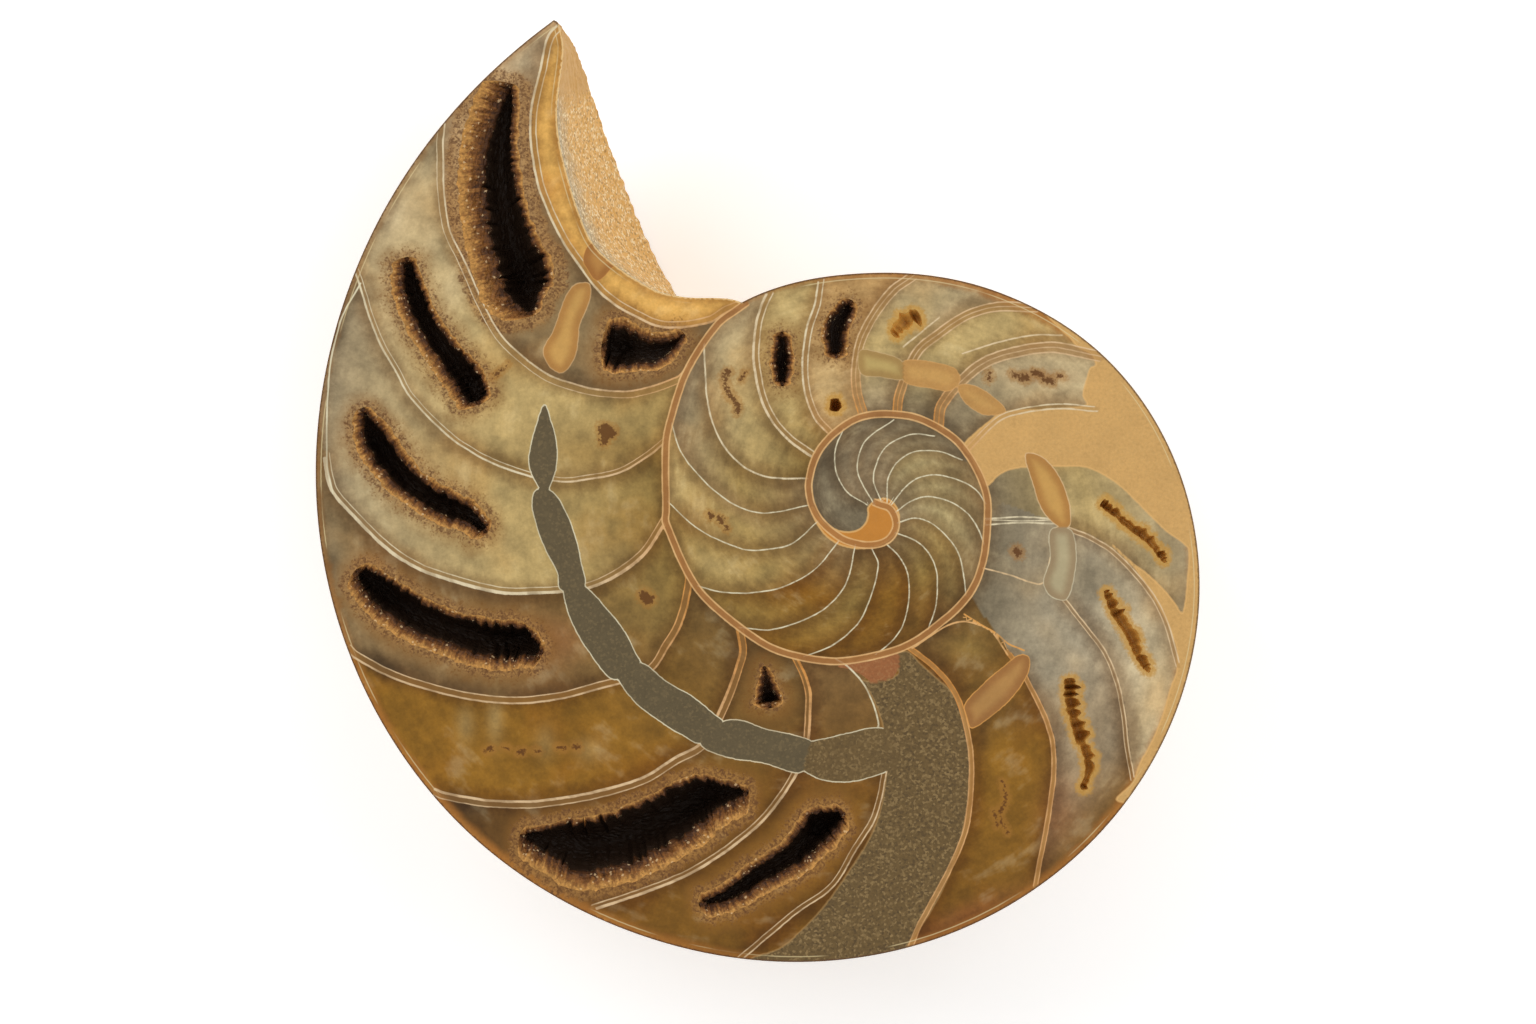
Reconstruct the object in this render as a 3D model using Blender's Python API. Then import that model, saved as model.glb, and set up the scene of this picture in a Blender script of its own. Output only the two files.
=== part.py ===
"""Half of a fossil nautilus, cut through the middle and polished, lying on its domed back.

Metres, +Z up. The polished face is level and on top. The origin is under the middle of the
part, at the level of the surface that it lies on. Distances on the face are measured from the
coil's axis, X to the right and Y away from the reader.
"""

import math
import random

import bmesh
import bpy
from mathutils import Vector

MM = 0.001
TOUCH_GAP = 0.3 * MM

# The coil
COIL_AXIS = Vector((13.6 * MM, -3.39 * MM))
HALF_THICKNESS = 28 * MM
# The whorl is cut off at this direction, seen from above, and winds clockwise to it again.
SEAM_ANGLE = math.radians(122.6)
RADIUS_STEP = 30
# Outer radius at each step of the turn, from the notch to the tip.
WHORL_RADIUS = (28.67, 27.50, 28.56, 31.22, 34.50, 38.44, 42.94, 47.83, 52.83, 58.22, 62.22, 64.72, 66.39)
TURN_SECTIONS = 60
FLANK_POINTS = 13
SHOULDER_POINT = 4
UMBILICUS_DEPTH = 17 * MM
# How slowly the side of the coil leaves the umbilicus before it rises to the shoulder.
UMBILICUS_EASE = 1.5
# The youngest part of the coil is thinner. It reaches full thickness at this angle.
THINNEST_SHARE = 0.6
FULL_THICKNESS_AT = 130
FLANK_ROUNDNESS = 2.3

# The last septum, a bowl that closes the whorl's open end. Along is measured from the tip towards
# the notch, and inset is how far the bowl lies behind the straight line between them.
BOWL_EDGE = ((-6, -1.2), (0, 0), (3.4, 1.5), (8.8, 5.8), (13.7, 8.1), (22.3, 10.3), (26.2, 9.7),
             (31.4, 7.3), (33.6, 5.2), (37.7, 0), (48, -1))
BOWL_RIM = ((-6, -0.4), (3, 0), (13, 2.5), (25, 4.8), (35, 5.4), (48, 4.5), (58, 0))
BOWL_START, BOWL_END, BOWL_STEP = -3, 58, 2
BOWL_ROWS = 6
# Just inside the keel, where the flank still has some depth.
KEEL_SHARE = 0.9995
SEAM_CLEARANCE = 3 * MM
# The whorl inside the last one, which the bowl wraps round.
INNER_SHRINK_PER_DEGREE = 0.092
INNER_FROM, INNER_TO, INNER_STEP = -72, 78, 6
INNER_SWELL = 0.06 * MM

# Open hollows in the chambers: points along each one as (x, y, half width of its mouth), in mm
# from the coil's axis, then its depth in mm, and whether crystals line it.
HOLLOWS = {
    "chamber_1_outer": (((-41.2, 47.6, 0.5), (-42.2, 42.9, 1.4), (-42.3, 37.2, 1.9), (-41.6, 33.0, 2.2),
                         (-40.3, 29.2, 2.5), (-39.1, 25.9, 2.3), (-38.8, 23.6, 0.9)), 9, True),
    "chamber_1_inner": (((-30.3, 19.4, 1.8), (-28.3, 19.2, 2.1), (-26.1, 18.9, 1.5), (-24.2, 19.2, 0.9),
                         (-22.6, 20.1, 0.4)), 6, True),
    "chamber_2": (((-52.6, 28.7, 0.5), (-52.0, 25.6, 1.1), (-50.7, 22.0, 1.2), (-48.7, 18.9, 1.4),
                   (-46.3, 16.0, 1.5), (-44.4, 13.8, 1.2)), 7, True),
    "chamber_3": (((-57.3, 12.0, 0.4), (-56.7, 8.9, 1.1), (-54.7, 6.4, 1.3), (-52.0, 4.0, 1.3),
                   (-48.4, 1.8, 1.2), (-45.6, 0.1, 0.9), (-43.8, -1.4, 0.4)), 7, True),
    "chamber_4": (((-58.0, -6.0, 0.9), (-55.6, -8.0, 1.6), (-52.0, -10.1, 1.9), (-48.3, -12.0, 1.9),
                   (-44.4, -13.1, 2.0), (-40.6, -13.8, 1.8), (-38.0, -13.9, 1.1)), 8, True),
    "chamber_6_outer": (((-39.1, -35.2, 0.6), (-35.6, -36.1, 1.9), (-31.3, -36.2, 2.6), (-26.7, -34.6, 2.7),
                         (-22.2, -32.2, 2.4), (-18.3, -30.8, 1.5), (-15.2, -30.2, 0.5)), 9, True),
    "chamber_6_inner": (((-12.7, -17.2, 0.4), (-12.4, -18.7, 0.8), (-12.3, -20.0, 1.2)), 4, True),
    "chamber_7": (((-19.2, -42.5, 0.5), (-15.6, -40.9, 1.1), (-11.7, -38.4, 1.5), (-8.3, -35.8, 1.6),
                   (-5.6, -33.3, 1.3), (-4.2, -32.6, 0.6)), 7, True),
    "chamber_16_outer": (((-3.1, 24.0, 0.6), (-4.5, 21.9, 1.2), (-5.2, 18.9, 0.8)), 4, True),
    "chamber_17": (((-11.0, 20.6, 0.5), (-10.9, 18.0, 0.8), (-11.1, 15.2, 0.5)), 4, True),
    "chamber_16_inner": (((-4.9, 13.5, 0.6), (-5.1, 12.3, 0.7)), 2.5, False),
    "chamber_15": (((4.0, 22.9, 0.7), (2.2, 21.9, 0.9)), 1.8, False),
    "chamber_12": (((24.8, 1.7, 0.4), (26.4, 0.9, 0.5), (28.3, -1.1, 0.5), (30.1, -2.3, 0.5),
                    (31.8, -4.6, 0.3)), 2, False),
    "chamber_11": (((24.6, -8.0, 0.4), (25.8, -9.8, 0.6), (27.3, -12.2, 0.6), (28.3, -15.0, 0.6),
                    (29.7, -16.9, 0.3)), 2.2, False),
    "chamber_10": (((21.3, -17.6, 0.5), (21.7, -19.7, 0.7), (22.2, -21.9, 0.7), (23.0, -23.7, 0.7),
                    (23.7, -25.9, 0.7), (23.3, -28.3, 0.6), (22.6, -30.0, 0.4)), 2.5, False),
}
CRUST = 1.0 * MM
HALF_CRUST = CRUST / 2
# Between the floor of a hollow and the crust in it.
FLOOR_GAP = 3 * TOUCH_GAP
HOLLOW_STEP = 1.7 * MM
NUDGE = 0.3 * MM
END_SHARE = 0.5
# A narrow stretch of a hollow is shallower by this power of its share of the greatest width.
TAPER = 0.6
HOLLOW_SIDES = 6
HOLLOW_HEADROOM = 2 * MM
CRYSTAL_SHARE = (0.25, 0.6)
SEED = 7

BODY_COLOUR = (0.30, 0.21, 0.09)
CRYSTAL_COLOUR = (0.16, 0.08, 0.03)


def clear_scene():
    for thing in list(bpy.data.objects):
        bpy.data.objects.remove(thing, do_unlink=True)


def material(name, colour, roughness):
    made = bpy.data.materials.new(name)
    made.use_nodes = True
    surface = made.node_tree.nodes["Principled BSDF"]
    surface.inputs["Base Color"].default_value = (*colour, 1)
    surface.inputs["Roughness"].default_value = roughness
    surface.inputs["Metallic"].default_value = 0
    return made


def collection(name):
    made = bpy.data.collections.new(name)
    bpy.context.scene.collection.children.link(made)
    return made


def add_object(name, bm, group, finish=None):
    """The bmesh as an object, with its faces pointing outwards."""
    bmesh.ops.recalc_face_normals(bm, faces=bm.faces)
    mesh = bpy.data.meshes.new(name)
    bm.to_mesh(mesh)
    bm.free()
    made = bpy.data.objects.new(name, mesh)
    group.objects.link(made)
    if finish:
        mesh.materials.append(finish)
    else:
        made.hide_render = True
        made.display_type = "WIRE"
    return made


def cut(thing, cutter):
    modifier = thing.modifiers.new("cut " + cutter.name, "BOOLEAN")
    modifier.operation = "DIFFERENCE"
    modifier.object = cutter


def curve_at(keys, x):
    """A smooth curve through keys of (x, value), whose slope at a key is that between its neighbours."""
    last = len(keys) - 1
    slopes = []
    for k in range(last + 1):
        before, after = keys[max(k - 1, 0)], keys[min(k + 1, last)]
        slopes.append((after[1] - before[1]) / (after[0] - before[0]))
    k = min(max(sum(x >= key[0] for key in keys) - 1, 0), last - 1)
    width = keys[k + 1][0] - keys[k][0]
    t = (x - keys[k][0]) / width
    ease = t * t * (3 - 2 * t)
    rise = keys[k + 1][1] - keys[k][1]
    return (keys[k][1] + rise * ease + width * slopes[k] * t * (1 - t) ** 2
            - width * slopes[k + 1] * t * t * (1 - t))


def whorl_radius(turn):
    """Outer radius at an angle of the turn in degrees, also of the whorl inside the first."""
    if turn < 0:
        return (WHORL_RADIUS[0] + INNER_SHRINK_PER_DEGREE * turn) * MM
    return curve_at([(k * RADIUS_STEP, r) for k, r in enumerate(WHORL_RADIUS)], turn) * MM


def whorl_half_width(turn):
    growth = math.sin(math.pi / 2 * min(max(turn / FULL_THICKNESS_AT, 0), 1))
    return HALF_THICKNESS * (THINNEST_SHARE + (1 - THINNEST_SHARE) * growth)


def flank_share(point):
    """A flank point's radius as a share of the whorl's, closer together towards the keel."""
    return math.sin(math.pi / 2 * point / FLANK_POINTS)


SHOULDER = flank_share(SHOULDER_POINT)


def flank_depth(share, turn):
    """How far the flank lies below the polished face."""
    half_width = whorl_half_width(turn)
    if share >= SHOULDER:
        out = min((share - SHOULDER) / (1 - SHOULDER), 1)
        return half_width * math.sqrt(1 - out**FLANK_ROUNDNESS)
    into = share / SHOULDER
    return UMBILICUS_DEPTH + (half_width - UMBILICUS_DEPTH) * math.sin(math.pi / 2 * into) ** UMBILICUS_EASE


def on_ray(turn, radius, depth, swell=0):
    """A point at an angle of the turn, a radius from the axis and a depth below the face."""
    angle = SEAM_ANGLE - math.radians(turn)
    reach = radius + swell
    return Vector((COIL_AXIS.x + reach * math.cos(angle), COIL_AXIS.y + reach * math.sin(angle),
                   HALF_THICKNESS - depth - swell))


def flank_profile(turn, first=1, swell=0):
    radius = whorl_radius(turn)
    shares = [flank_share(point) for point in range(first, FLANK_POINTS + 1)]
    return [on_ray(turn, share * radius, flank_depth(share, turn), swell) for share in shares]


def coil():
    """One whole turn of the whorl as a closed solid, flat on top, with a step at the seam."""
    bm = bmesh.new()
    turns = [360 * k / TURN_SECTIONS for k in range(TURN_SECTIONS + 1)]
    rows = [[bm.verts.new(point) for point in flank_profile(turn)] for turn in turns]
    pole = bm.verts.new(on_ray(0, 0, UMBILICUS_DEPTH))
    for row, following in zip(rows, rows[1:]):
        bm.faces.new((pole, row[0], following[0]))
        for a, b, c, d in zip(row, row[1:], following[1:], following):
            bm.faces.new((a, b, c, d))
    bm.faces.new([row[-1] for row in rows])
    bm.faces.new([pole] + rows[0] + rows[-1][::-1])
    return bm


def loft(sections):
    """Closed loops of equal length joined into a solid with a face on each end."""
    bm = bmesh.new()
    loops = [[bm.verts.new(point) for point in section] for section in sections]
    for loop, following in zip(loops, loops[1:]):
        for k in range(len(loop)):
            bm.faces.new((loop[k - 1], loop[k], following[k], following[k - 1]))
    bm.faces.new(loops[0])
    bm.faces.new(loops[-1][::-1])
    return bm


def inner_whorl():
    """The whorl that the bowl wraps round, a hair larger than the coil's own surface."""
    top = -SEAM_CLEARANCE
    sections = []
    for turn in range(INNER_FROM, INNER_TO, INNER_STEP):
        swell = INNER_SWELL if turn >= 0 else 0
        corners = [on_ray(turn, TOUCH_GAP, UMBILICUS_DEPTH), on_ray(turn, TOUCH_GAP, top)]
        keel = on_ray(turn, whorl_radius(turn) + swell, top)
        sections.append(corners + [keel] + flank_profile(turn, swell=swell)[::-1])
    return loft(sections)


def bowl():
    """What the last septum leaves open: everything between its curved face and the seam."""
    tip = on_ray(360, whorl_radius(360), 0)
    along = (on_ray(360, 0, 0) - tip).normalized()
    inward = Vector((along.y, -along.x, 0))
    top, floor = -HOLLOW_HEADROOM, HALF_THICKNESS + SEAM_CLEARANCE
    sections = []
    for distance in range(BOWL_START, BOWL_END + 1, BOWL_STEP):
        edge = curve_at(BOWL_EDGE, distance) * MM
        rim = curve_at(BOWL_RIM, distance) * MM
        share = min(1 - distance * MM / whorl_radius(360), KEEL_SHARE)
        depth = flank_depth(share, 360)
        rows = [(edge, top)]
        for row in range(BOWL_ROWS + 1):
            down = row / BOWL_ROWS
            rows.append((edge + (rim - edge) * down * down, depth * down))
        rows.append((rim, floor))
        points = [(-SEAM_CLEARANCE, top)] + rows + [(-SEAM_CLEARANCE, floor)]
        base = tip + along * distance * MM
        sections.append([base + inward * inset - Vector((0, 0, low)) for inset, low in points])
    return loft(sections)


def hollow_stations(path, spread, overrun):
    """(centre, side direction, half width) along a hollow, wider by spread and longer by overrun."""
    points = [Vector((x * MM, y * MM)) + COIL_AXIS for x, y, _ in path]
    marks = [0]
    for a, b in zip(points, points[1:]):
        marks.append(marks[-1] + (b - a).length)
    xs = [(mark, point.x) for mark, point in zip(marks, points)]
    ys = [(mark, point.y) for mark, point in zip(marks, points)]
    widths = [(mark, half_width * MM) for mark, (_, _, half_width) in zip(marks, path)]
    length = marks[-1]
    count = max(round(length / HOLLOW_STEP), 2)
    stations = []
    for mark in [-overrun] + [length * k / count for k in range(count + 1)] + [length + overrun]:
        inside = min(max(mark, 0), length)
        near, far = max(inside - NUDGE, 0), min(inside + NUDGE, length)
        ahead = Vector((curve_at(xs, far) - curve_at(xs, near), curve_at(ys, far) - curve_at(ys, near)))
        ahead.normalize()
        here = Vector((curve_at(xs, inside), curve_at(ys, inside))) + ahead * (mark - inside)
        half_width = curve_at(widths, inside) + spread
        if mark != inside:
            half_width *= END_SHARE
        stations.append((here, Vector((-ahead.y, ahead.x)), half_width))
    return stations


def hollow_sections(stations, depth, mouth):
    """Half-oval sections that hang from the height of the mouth, deepest where they are widest."""
    widest = max(half_width for _, _, half_width in stations)
    sections = []
    for centre, side, half_width in stations:
        low = depth * (half_width / widest) ** TAPER
        section = []
        for k in range(HOLLOW_SIDES + 1):
            angle = math.pi * k / HOLLOW_SIDES
            across = centre + side * half_width * math.cos(angle)
            section.append(Vector((across.x, across.y, mouth - low * math.sin(angle))))
        sections.append(section)
    return sections


def hollow(path, depth, lined):
    """The cutter of one hollow, which rises straight up out of the polished face."""
    spread = CRUST if lined else 0
    stations = hollow_stations(path, spread, max(spread, HALF_CRUST))
    sections = hollow_sections(stations, depth, HALF_THICKNESS)
    rise = Vector((0, 0, HOLLOW_HEADROOM))
    return loft([[section[0] + rise] + section + [section[-1] + rise] for section in sections])


def crystal_crust(path, depth, shaker):
    """A lining of crystals: a boat inside a boat, whose inner planks are raised to points."""
    mouth = HALF_THICKNESS - TOUCH_GAP
    thickness = CRUST - TOUCH_GAP
    outer = hollow_sections(hollow_stations(path, thickness, thickness), depth - FLOOR_GAP, mouth)
    inner_stations = hollow_stations(path, 0, HALF_CRUST)
    inner = hollow_sections(inner_stations, depth - FLOOR_GAP - CRUST, mouth)
    bm = bmesh.new()
    hulls = []
    for sections in (outer, inner):
        loops = [[bm.verts.new(point) for point in section] for section in sections]
        planks = []
        for loop, following in zip(loops, loops[1:]):
            for a, b, c, d in zip(loop, loop[1:], following[1:], following):
                planks.append(bm.faces.new((a, b, c, d)))
        planks.append(bm.faces.new(loops[0][::-1]))
        planks.append(bm.faces.new(loops[-1]))
        gunwale = [loop[0] for loop in loops] + [loop[-1] for loop in reversed(loops)]
        hulls.append((gunwale, planks))
    (outside, _), (inside, planks) = hulls
    for k in range(len(outside)):
        bm.faces.new((outside[k - 1], outside[k], inside[k], inside[k - 1]))
    bmesh.ops.recalc_face_normals(bm, faces=bm.faces)
    narrowest = min(half_width for _, _, half_width in inner_stations)
    widest = max(half_width for _, _, half_width in inner_stations)
    for plank in planks:
        reach = shaker.uniform(*CRYSTAL_SHARE) * min(widest, narrowest + CRUST)
        bmesh.ops.poke(bm, faces=[plank], offset=reach)
    return bm


def main():
    clear_scene()
    parts = collection("fossil nautilus shell half")
    cutters = collection("cutters")
    stone = material("polished fossil", BODY_COLOUR, 0.25)
    crystal = material("brown crystals", CRYSTAL_COLOUR, 0.35)
    shaker = random.Random(SEED)

    body = add_object("shell_half", coil(), parts, stone)
    opening = add_object("last septum opening", bowl(), cutters)
    cut(opening, add_object("inner whorl", inner_whorl(), cutters))
    cut(body, opening)
    for name, (path, depth, lined) in HOLLOWS.items():
        cut(body, add_object("hollow " + name, hollow(path, depth * MM, lined), cutters))
        if lined:
            add_object("crystal_crust_" + name, crystal_crust(path, depth * MM, shaker), parts, crystal)


main()
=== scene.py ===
# %% [markdown]
# # Half of a fossil nautilus, sawn and polished
#
# A nautilus lives in the last room of its coiled shell and walls the older rooms off one by one.
# Buried for long enough, the rooms fill with minerals. Sawn through the middle and polished, each half
# shows them as a picture on a flat face: olive and grey stone in the rooms, pale walls between them,
# a row of beads where a tube ran through the walls, and caves that crystals line.
#
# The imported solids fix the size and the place. Over them come the polished face, the rough back and
# the crystals in the caves, each as a piece of its own, because each has its own detail and finish.

import math

import bpy
import numpy as np
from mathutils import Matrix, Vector, kdtree
from mathutils.geometry import delaunay_2d_cdt


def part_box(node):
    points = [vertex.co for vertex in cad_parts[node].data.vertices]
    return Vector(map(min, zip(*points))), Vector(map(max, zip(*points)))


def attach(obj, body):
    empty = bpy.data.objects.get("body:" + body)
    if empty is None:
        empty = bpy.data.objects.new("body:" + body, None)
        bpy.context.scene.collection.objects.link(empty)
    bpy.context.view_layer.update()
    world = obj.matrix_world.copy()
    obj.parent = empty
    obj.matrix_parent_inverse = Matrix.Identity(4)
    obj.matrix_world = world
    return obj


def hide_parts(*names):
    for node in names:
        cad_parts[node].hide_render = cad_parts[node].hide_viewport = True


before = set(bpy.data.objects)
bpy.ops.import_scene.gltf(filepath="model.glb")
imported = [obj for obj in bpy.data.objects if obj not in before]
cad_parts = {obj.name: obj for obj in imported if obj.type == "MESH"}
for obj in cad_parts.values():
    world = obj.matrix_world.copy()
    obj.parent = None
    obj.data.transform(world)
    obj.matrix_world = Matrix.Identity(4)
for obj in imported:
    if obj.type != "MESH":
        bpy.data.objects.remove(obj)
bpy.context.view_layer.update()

MM = 0.001
SNUG = 0.9993
low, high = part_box("shell_half")
face_height = high.z
# The coil's axis from the part's lowest corner. All plans below are in mm from this axis.
COIL_AXIS = (low.x + 62.72 * MM, low.y + 49.13 * MM)
print("polished face at", round(face_height / MM, 2), "mm")

# %% [markdown]
# ## The shape of the coil
#
# The shell grows as a spiral. Its outer radius is given every 30 degrees of the turn, from the notch,
# where the whorl begins, to the tip, where it is cut off. A smooth curve runs through these values.
# Everything that lies on the coil uses this one rule, so that no piece can drift off another.

# %% Smooth curves and the coil's rule
SEAM_ANGLE = 122.6
RADIUS_STEP = 30
WHORL_RADIUS = (28.67, 27.50, 28.56, 31.22, 34.50, 38.44, 42.94, 47.83, 52.83, 58.22, 62.22, 64.72, 66.39)
INNER_SHRINK_PER_DEGREE = 0.092
HALF_THICKNESS = 28
UMBILICUS_DEPTH = 17
UMBILICUS_EASE = 1.5
THINNEST_SHARE = 0.6
FULL_THICKNESS_AT = 130
FLANK_ROUNDNESS = 2.3
SHOULDER = math.sin(math.pi / 2 * 4 / 13)


def smooth(xs, values, x):
    """A smooth curve through the values, whose slope at each is that between its neighbours."""
    xs, values, x = (np.asarray(a, float) for a in (xs, values, x))
    before, after = np.r_[0, 0:len(xs) - 1], np.r_[1:len(xs), len(xs) - 1]
    slopes = (values[after] - values[before]) / (xs[after] - xs[before])
    k = np.clip(np.searchsorted(xs, x, side="right") - 1, 0, len(xs) - 2)
    width = xs[k + 1] - xs[k]
    t = (x - xs[k]) / width
    return (values[k] + (values[k + 1] - values[k]) * t * t * (3 - 2 * t)
            + width * slopes[k] * t * (1 - t) ** 2 - width * slopes[k + 1] * t * t * (1 - t))


def whorl_radius(turn):
    turns = [k * RADIUS_STEP for k in range(len(WHORL_RADIUS))]
    inside = WHORL_RADIUS[0] + INNER_SHRINK_PER_DEGREE * turn
    return np.where(turn < 0, inside, smooth(turns, WHORL_RADIUS, np.clip(turn, 0, 360)))


def half_width(turn):
    growth = np.sin(math.pi / 2 * np.clip(turn / FULL_THICKNESS_AT, 0, 1))
    return HALF_THICKNESS * (THINNEST_SHARE + (1 - THINNEST_SHARE) * growth)


def flank_depth(share, turn):
    """How far the flank lies below the face, at a share of the whorl's radius."""
    wide = half_width(turn)
    out = np.clip((share - SHOULDER) / (1 - SHOULDER), 0, 1)
    into = np.clip(share / SHOULDER, 0, 1)
    rising = UMBILICUS_DEPTH + (wide - UMBILICUS_DEPTH) * np.sin(math.pi / 2 * into) ** UMBILICUS_EASE
    return np.where(share >= SHOULDER, wide * np.sqrt(1 - out**FLANK_ROUNDNESS), rising)


def on_coil(turn, radius):
    """The point on the plan at an angle of the turn and a radius."""
    angle = np.radians(SEAM_ANGLE - turn)
    return np.stack([radius * np.cos(angle), radius * np.sin(angle)], axis=-1)


def in_space(plan, depth):
    """Points of a plan in mm, at a depth below the face, as points of the scene in metres."""
    plan = np.asarray(plan, float)
    depth = np.broadcast_to(depth, plan.shape[:-1])
    across = SNUG * (np.array(COIL_AXIS) + plan * MM)
    return np.stack([across[..., 0], across[..., 1], face_height - depth * MM], axis=-1)


print("radius at the notch and the tip:", float(whorl_radius(0.0)), float(whorl_radius(360.0)), "mm")

# %% [markdown]
# ## Tools for sheets that follow a rule
#
# Most stone surfaces here are sheets: a grid whose points are moved to where a rule puts them. The
# grid comes from the grid primitive, its open edges are merged or filled, and a Boolean modifier
# cuts one closed shape out of another, as in part modelling by hand.

# %% A sheet from a grid, and the edit mode steps around it
def only(thing):
    """Makes this the one selected and active object."""
    bpy.ops.object.select_all(action="DESELECT")
    thing.select_set(True)
    bpy.context.view_layer.objects.active = thing


def sheet(name, columns, rows, place):
    """A grid of columns by rows whose points go to place(across, up), both from 0 to 1."""
    bpy.ops.object.select_all(action="DESELECT")
    bpy.ops.mesh.primitive_grid_add(x_subdivisions=columns, y_subdivisions=rows, size=1)
    made = bpy.context.object
    made.name = made.data.name = name
    corners = np.empty(len(made.data.vertices) * 3)
    made.data.vertices.foreach_get("co", corners)
    corners = corners.reshape(-1, 3)
    points = place(corners[:, 0] + 0.5, corners[:, 1] + 0.5)
    made.data.vertices.foreach_set("co", points.ravel())
    made.data.update()
    return made


def close_up(thing, merge=0.002):
    """Merges the points that meet, fills what is still open and turns all faces outwards."""
    only(thing)
    bpy.ops.object.mode_set(mode="EDIT")
    bpy.ops.mesh.select_all(action="SELECT")
    bpy.ops.mesh.remove_doubles(threshold=merge * MM)
    bpy.ops.mesh.fill_holes(sides=0)
    bpy.ops.mesh.normals_make_consistent(inside=False)
    bpy.ops.object.mode_set(mode="OBJECT")


def modify(thing, kind, **settings):
    """Adds a modifier with these settings and applies it."""
    only(thing)
    bpy.ops.object.modifier_add(type=kind)
    modifier = thing.modifiers[-1]
    for name, value in settings.items():
        setattr(modifier, name, value)
    bpy.ops.object.modifier_apply(modifier=modifier.name)


def take_away(thing, cutter):
    """Cuts one closed shape out of another and removes the cutter."""
    modify(thing, "BOOLEAN", operation="DIFFERENCE", solver="MANIFOLD", object=cutter)
    bpy.data.objects.remove(cutter, do_unlink=True)


# %% [markdown]
# ## The rough back
#
# Under the face lies the outside of the shell: a flank that swells to a round shoulder and sinks to
# a dimple on the coil's axis. It is one sheet round the axis. One edge of the sheet is the keel, just
# under the polished face, and the opposite edge shrinks to a point in the dimple.

# %% The coil
FACE_THICKNESS = 0.45
BACK_COLUMNS, BACK_ROWS = 360, 56


def keel_share(turn):
    """The share of the radius where the flank passes the underside of the face."""
    out = (1 - (FACE_THICKNESS / half_width(turn)) ** 2) ** (1 / FLANK_ROUNDNESS)
    return SHOULDER + (1 - SHOULDER) * out


def back_point(across, up):
    turn = across * 360
    share = keel_share(turn) * np.sin(math.pi / 2 * up)
    return in_space(on_coil(turn, share * whorl_radius(turn)), flank_depth(share, turn))


shell_back = sheet("shell_back", BACK_COLUMNS, BACK_ROWS, back_point)
only(shell_back)
bpy.ops.object.mode_set(mode="EDIT")
bpy.ops.mesh.select_all(action="SELECT")
bpy.ops.mesh.remove_doubles(threshold=0.001 * MM)
bpy.ops.mesh.select_all(action="DESELECT")
bpy.ops.object.mode_set(mode="OBJECT")
top = face_height - FACE_THICKNESS * MM
for vertex in shell_back.data.vertices:
    vertex.select = abs(vertex.co.z - top) < 0.001 * MM
bpy.ops.object.mode_set(mode="EDIT")
bpy.ops.mesh.edge_face_add()
bpy.ops.object.mode_set(mode="OBJECT")
close_up(shell_back)
print("back:", len(shell_back.data.polygons), "faces before cutting")

# %% [markdown]
# ## The last wall
#
# The youngest wall closes the open end of the whorl like a bowl. It bulges into the coil between the
# tip and the notch, and its surface is sandy. What lies in front of it is cut away, apart from the
# older whorl, which the bowl wraps round.

# %% The bowl's edge and rim
BOWL_EDGE = ((-6, 0, 0.3, 0.7, 1.4, 3.4, 8.8, 13.7, 22.3, 26.2, 31.4, 33.6, 37.7, 48),
             (3, 0.6, 0.42, 0.42, 0.6, 1.5, 5.8, 8.1, 10.3, 9.7, 7.3, 5.2, 0, -1))
BOWL_RIM = ((-6, 0, 1, 3, 13, 25, 35, 48, 58), (2, 0.4, 0.15, 0.1, 2.5, 4.8, 5.4, 4.5, 0))
BOWL_LENGTH = (-3, 58)
KEEL_SHARE = 0.9995
SEAM_CLEARANCE = 3
HEADROOM = 2
tip = on_coil(360.0, whorl_radius(360.0))
along = -tip / np.linalg.norm(tip)
inward = np.array((along[1], -along[0]))


def bowl_plan(distance, inset):
    """The plan point at a distance from the tip and an inset from the straight line to the notch."""
    return tip + distance[:, None] * along + inset[:, None] * inward


BOWL_COLUMNS, BOWL_ROWS = 170, 60
SAND_SIZE, SAND_HEIGHT = 0.45, 0.16


def sand(plan, depth, size):
    """A bumpy field from -1 to 1 with the given size of bump, the same at each run."""
    x, y, z = plan[..., 0] / size, plan[..., 1] / size, depth / size
    wave = (np.sin(1.7 * x + 2.3 * np.sin(0.9 * y + z)) + np.sin(2.1 * y + 1.9 * np.sin(1.3 * z - x))
            + np.sin(1.9 * z + 2.1 * np.sin(1.1 * x + y)))
    return wave / 3


def bowl_point(across, up):
    """A closed tube of the space in front of the bowl: one long side of its section is the bowl."""
    distance = BOWL_LENGTH[0] + (BOWL_LENGTH[1] - BOWL_LENGTH[0]) * across
    row = np.rint(up * BOWL_ROWS)
    edge, rim = smooth(*BOWL_EDGE, distance), smooth(*BOWL_RIM, distance)
    depth = flank_depth(np.minimum(1 - distance / whorl_radius(360.0), KEEL_SHARE), 360.0)
    floor = HALF_THICKNESS + SEAM_CLEARANCE
    down = (row - 2) / (BOWL_ROWS - 5)
    on_bowl = (down >= 0) & (down <= 1)
    down = np.clip(down, 0, 1)
    inset = edge + (rim - edge) * down * down
    below = np.select([row <= 1, on_bowl, row <= BOWL_ROWS - 1], [-HEADROOM, depth * down, floor], -HEADROOM)
    inset = np.where((row < 1) | (row > BOWL_ROWS - 2), -SEAM_CLEARANCE, inset)
    plan = bowl_plan(distance, inset)
    plan = plan + (on_bowl * SAND_HEIGHT * sand(plan, below, SAND_SIZE))[:, None] * inward
    return in_space(plan, below)


opening = sheet("opening", BOWL_COLUMNS, BOWL_ROWS, bowl_point)
close_up(opening)

INNER_TURNS = (-72, 78)
INNER_SWELL = 0.06
INNER_COLUMNS, INNER_ROWS = 75, 44


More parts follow.
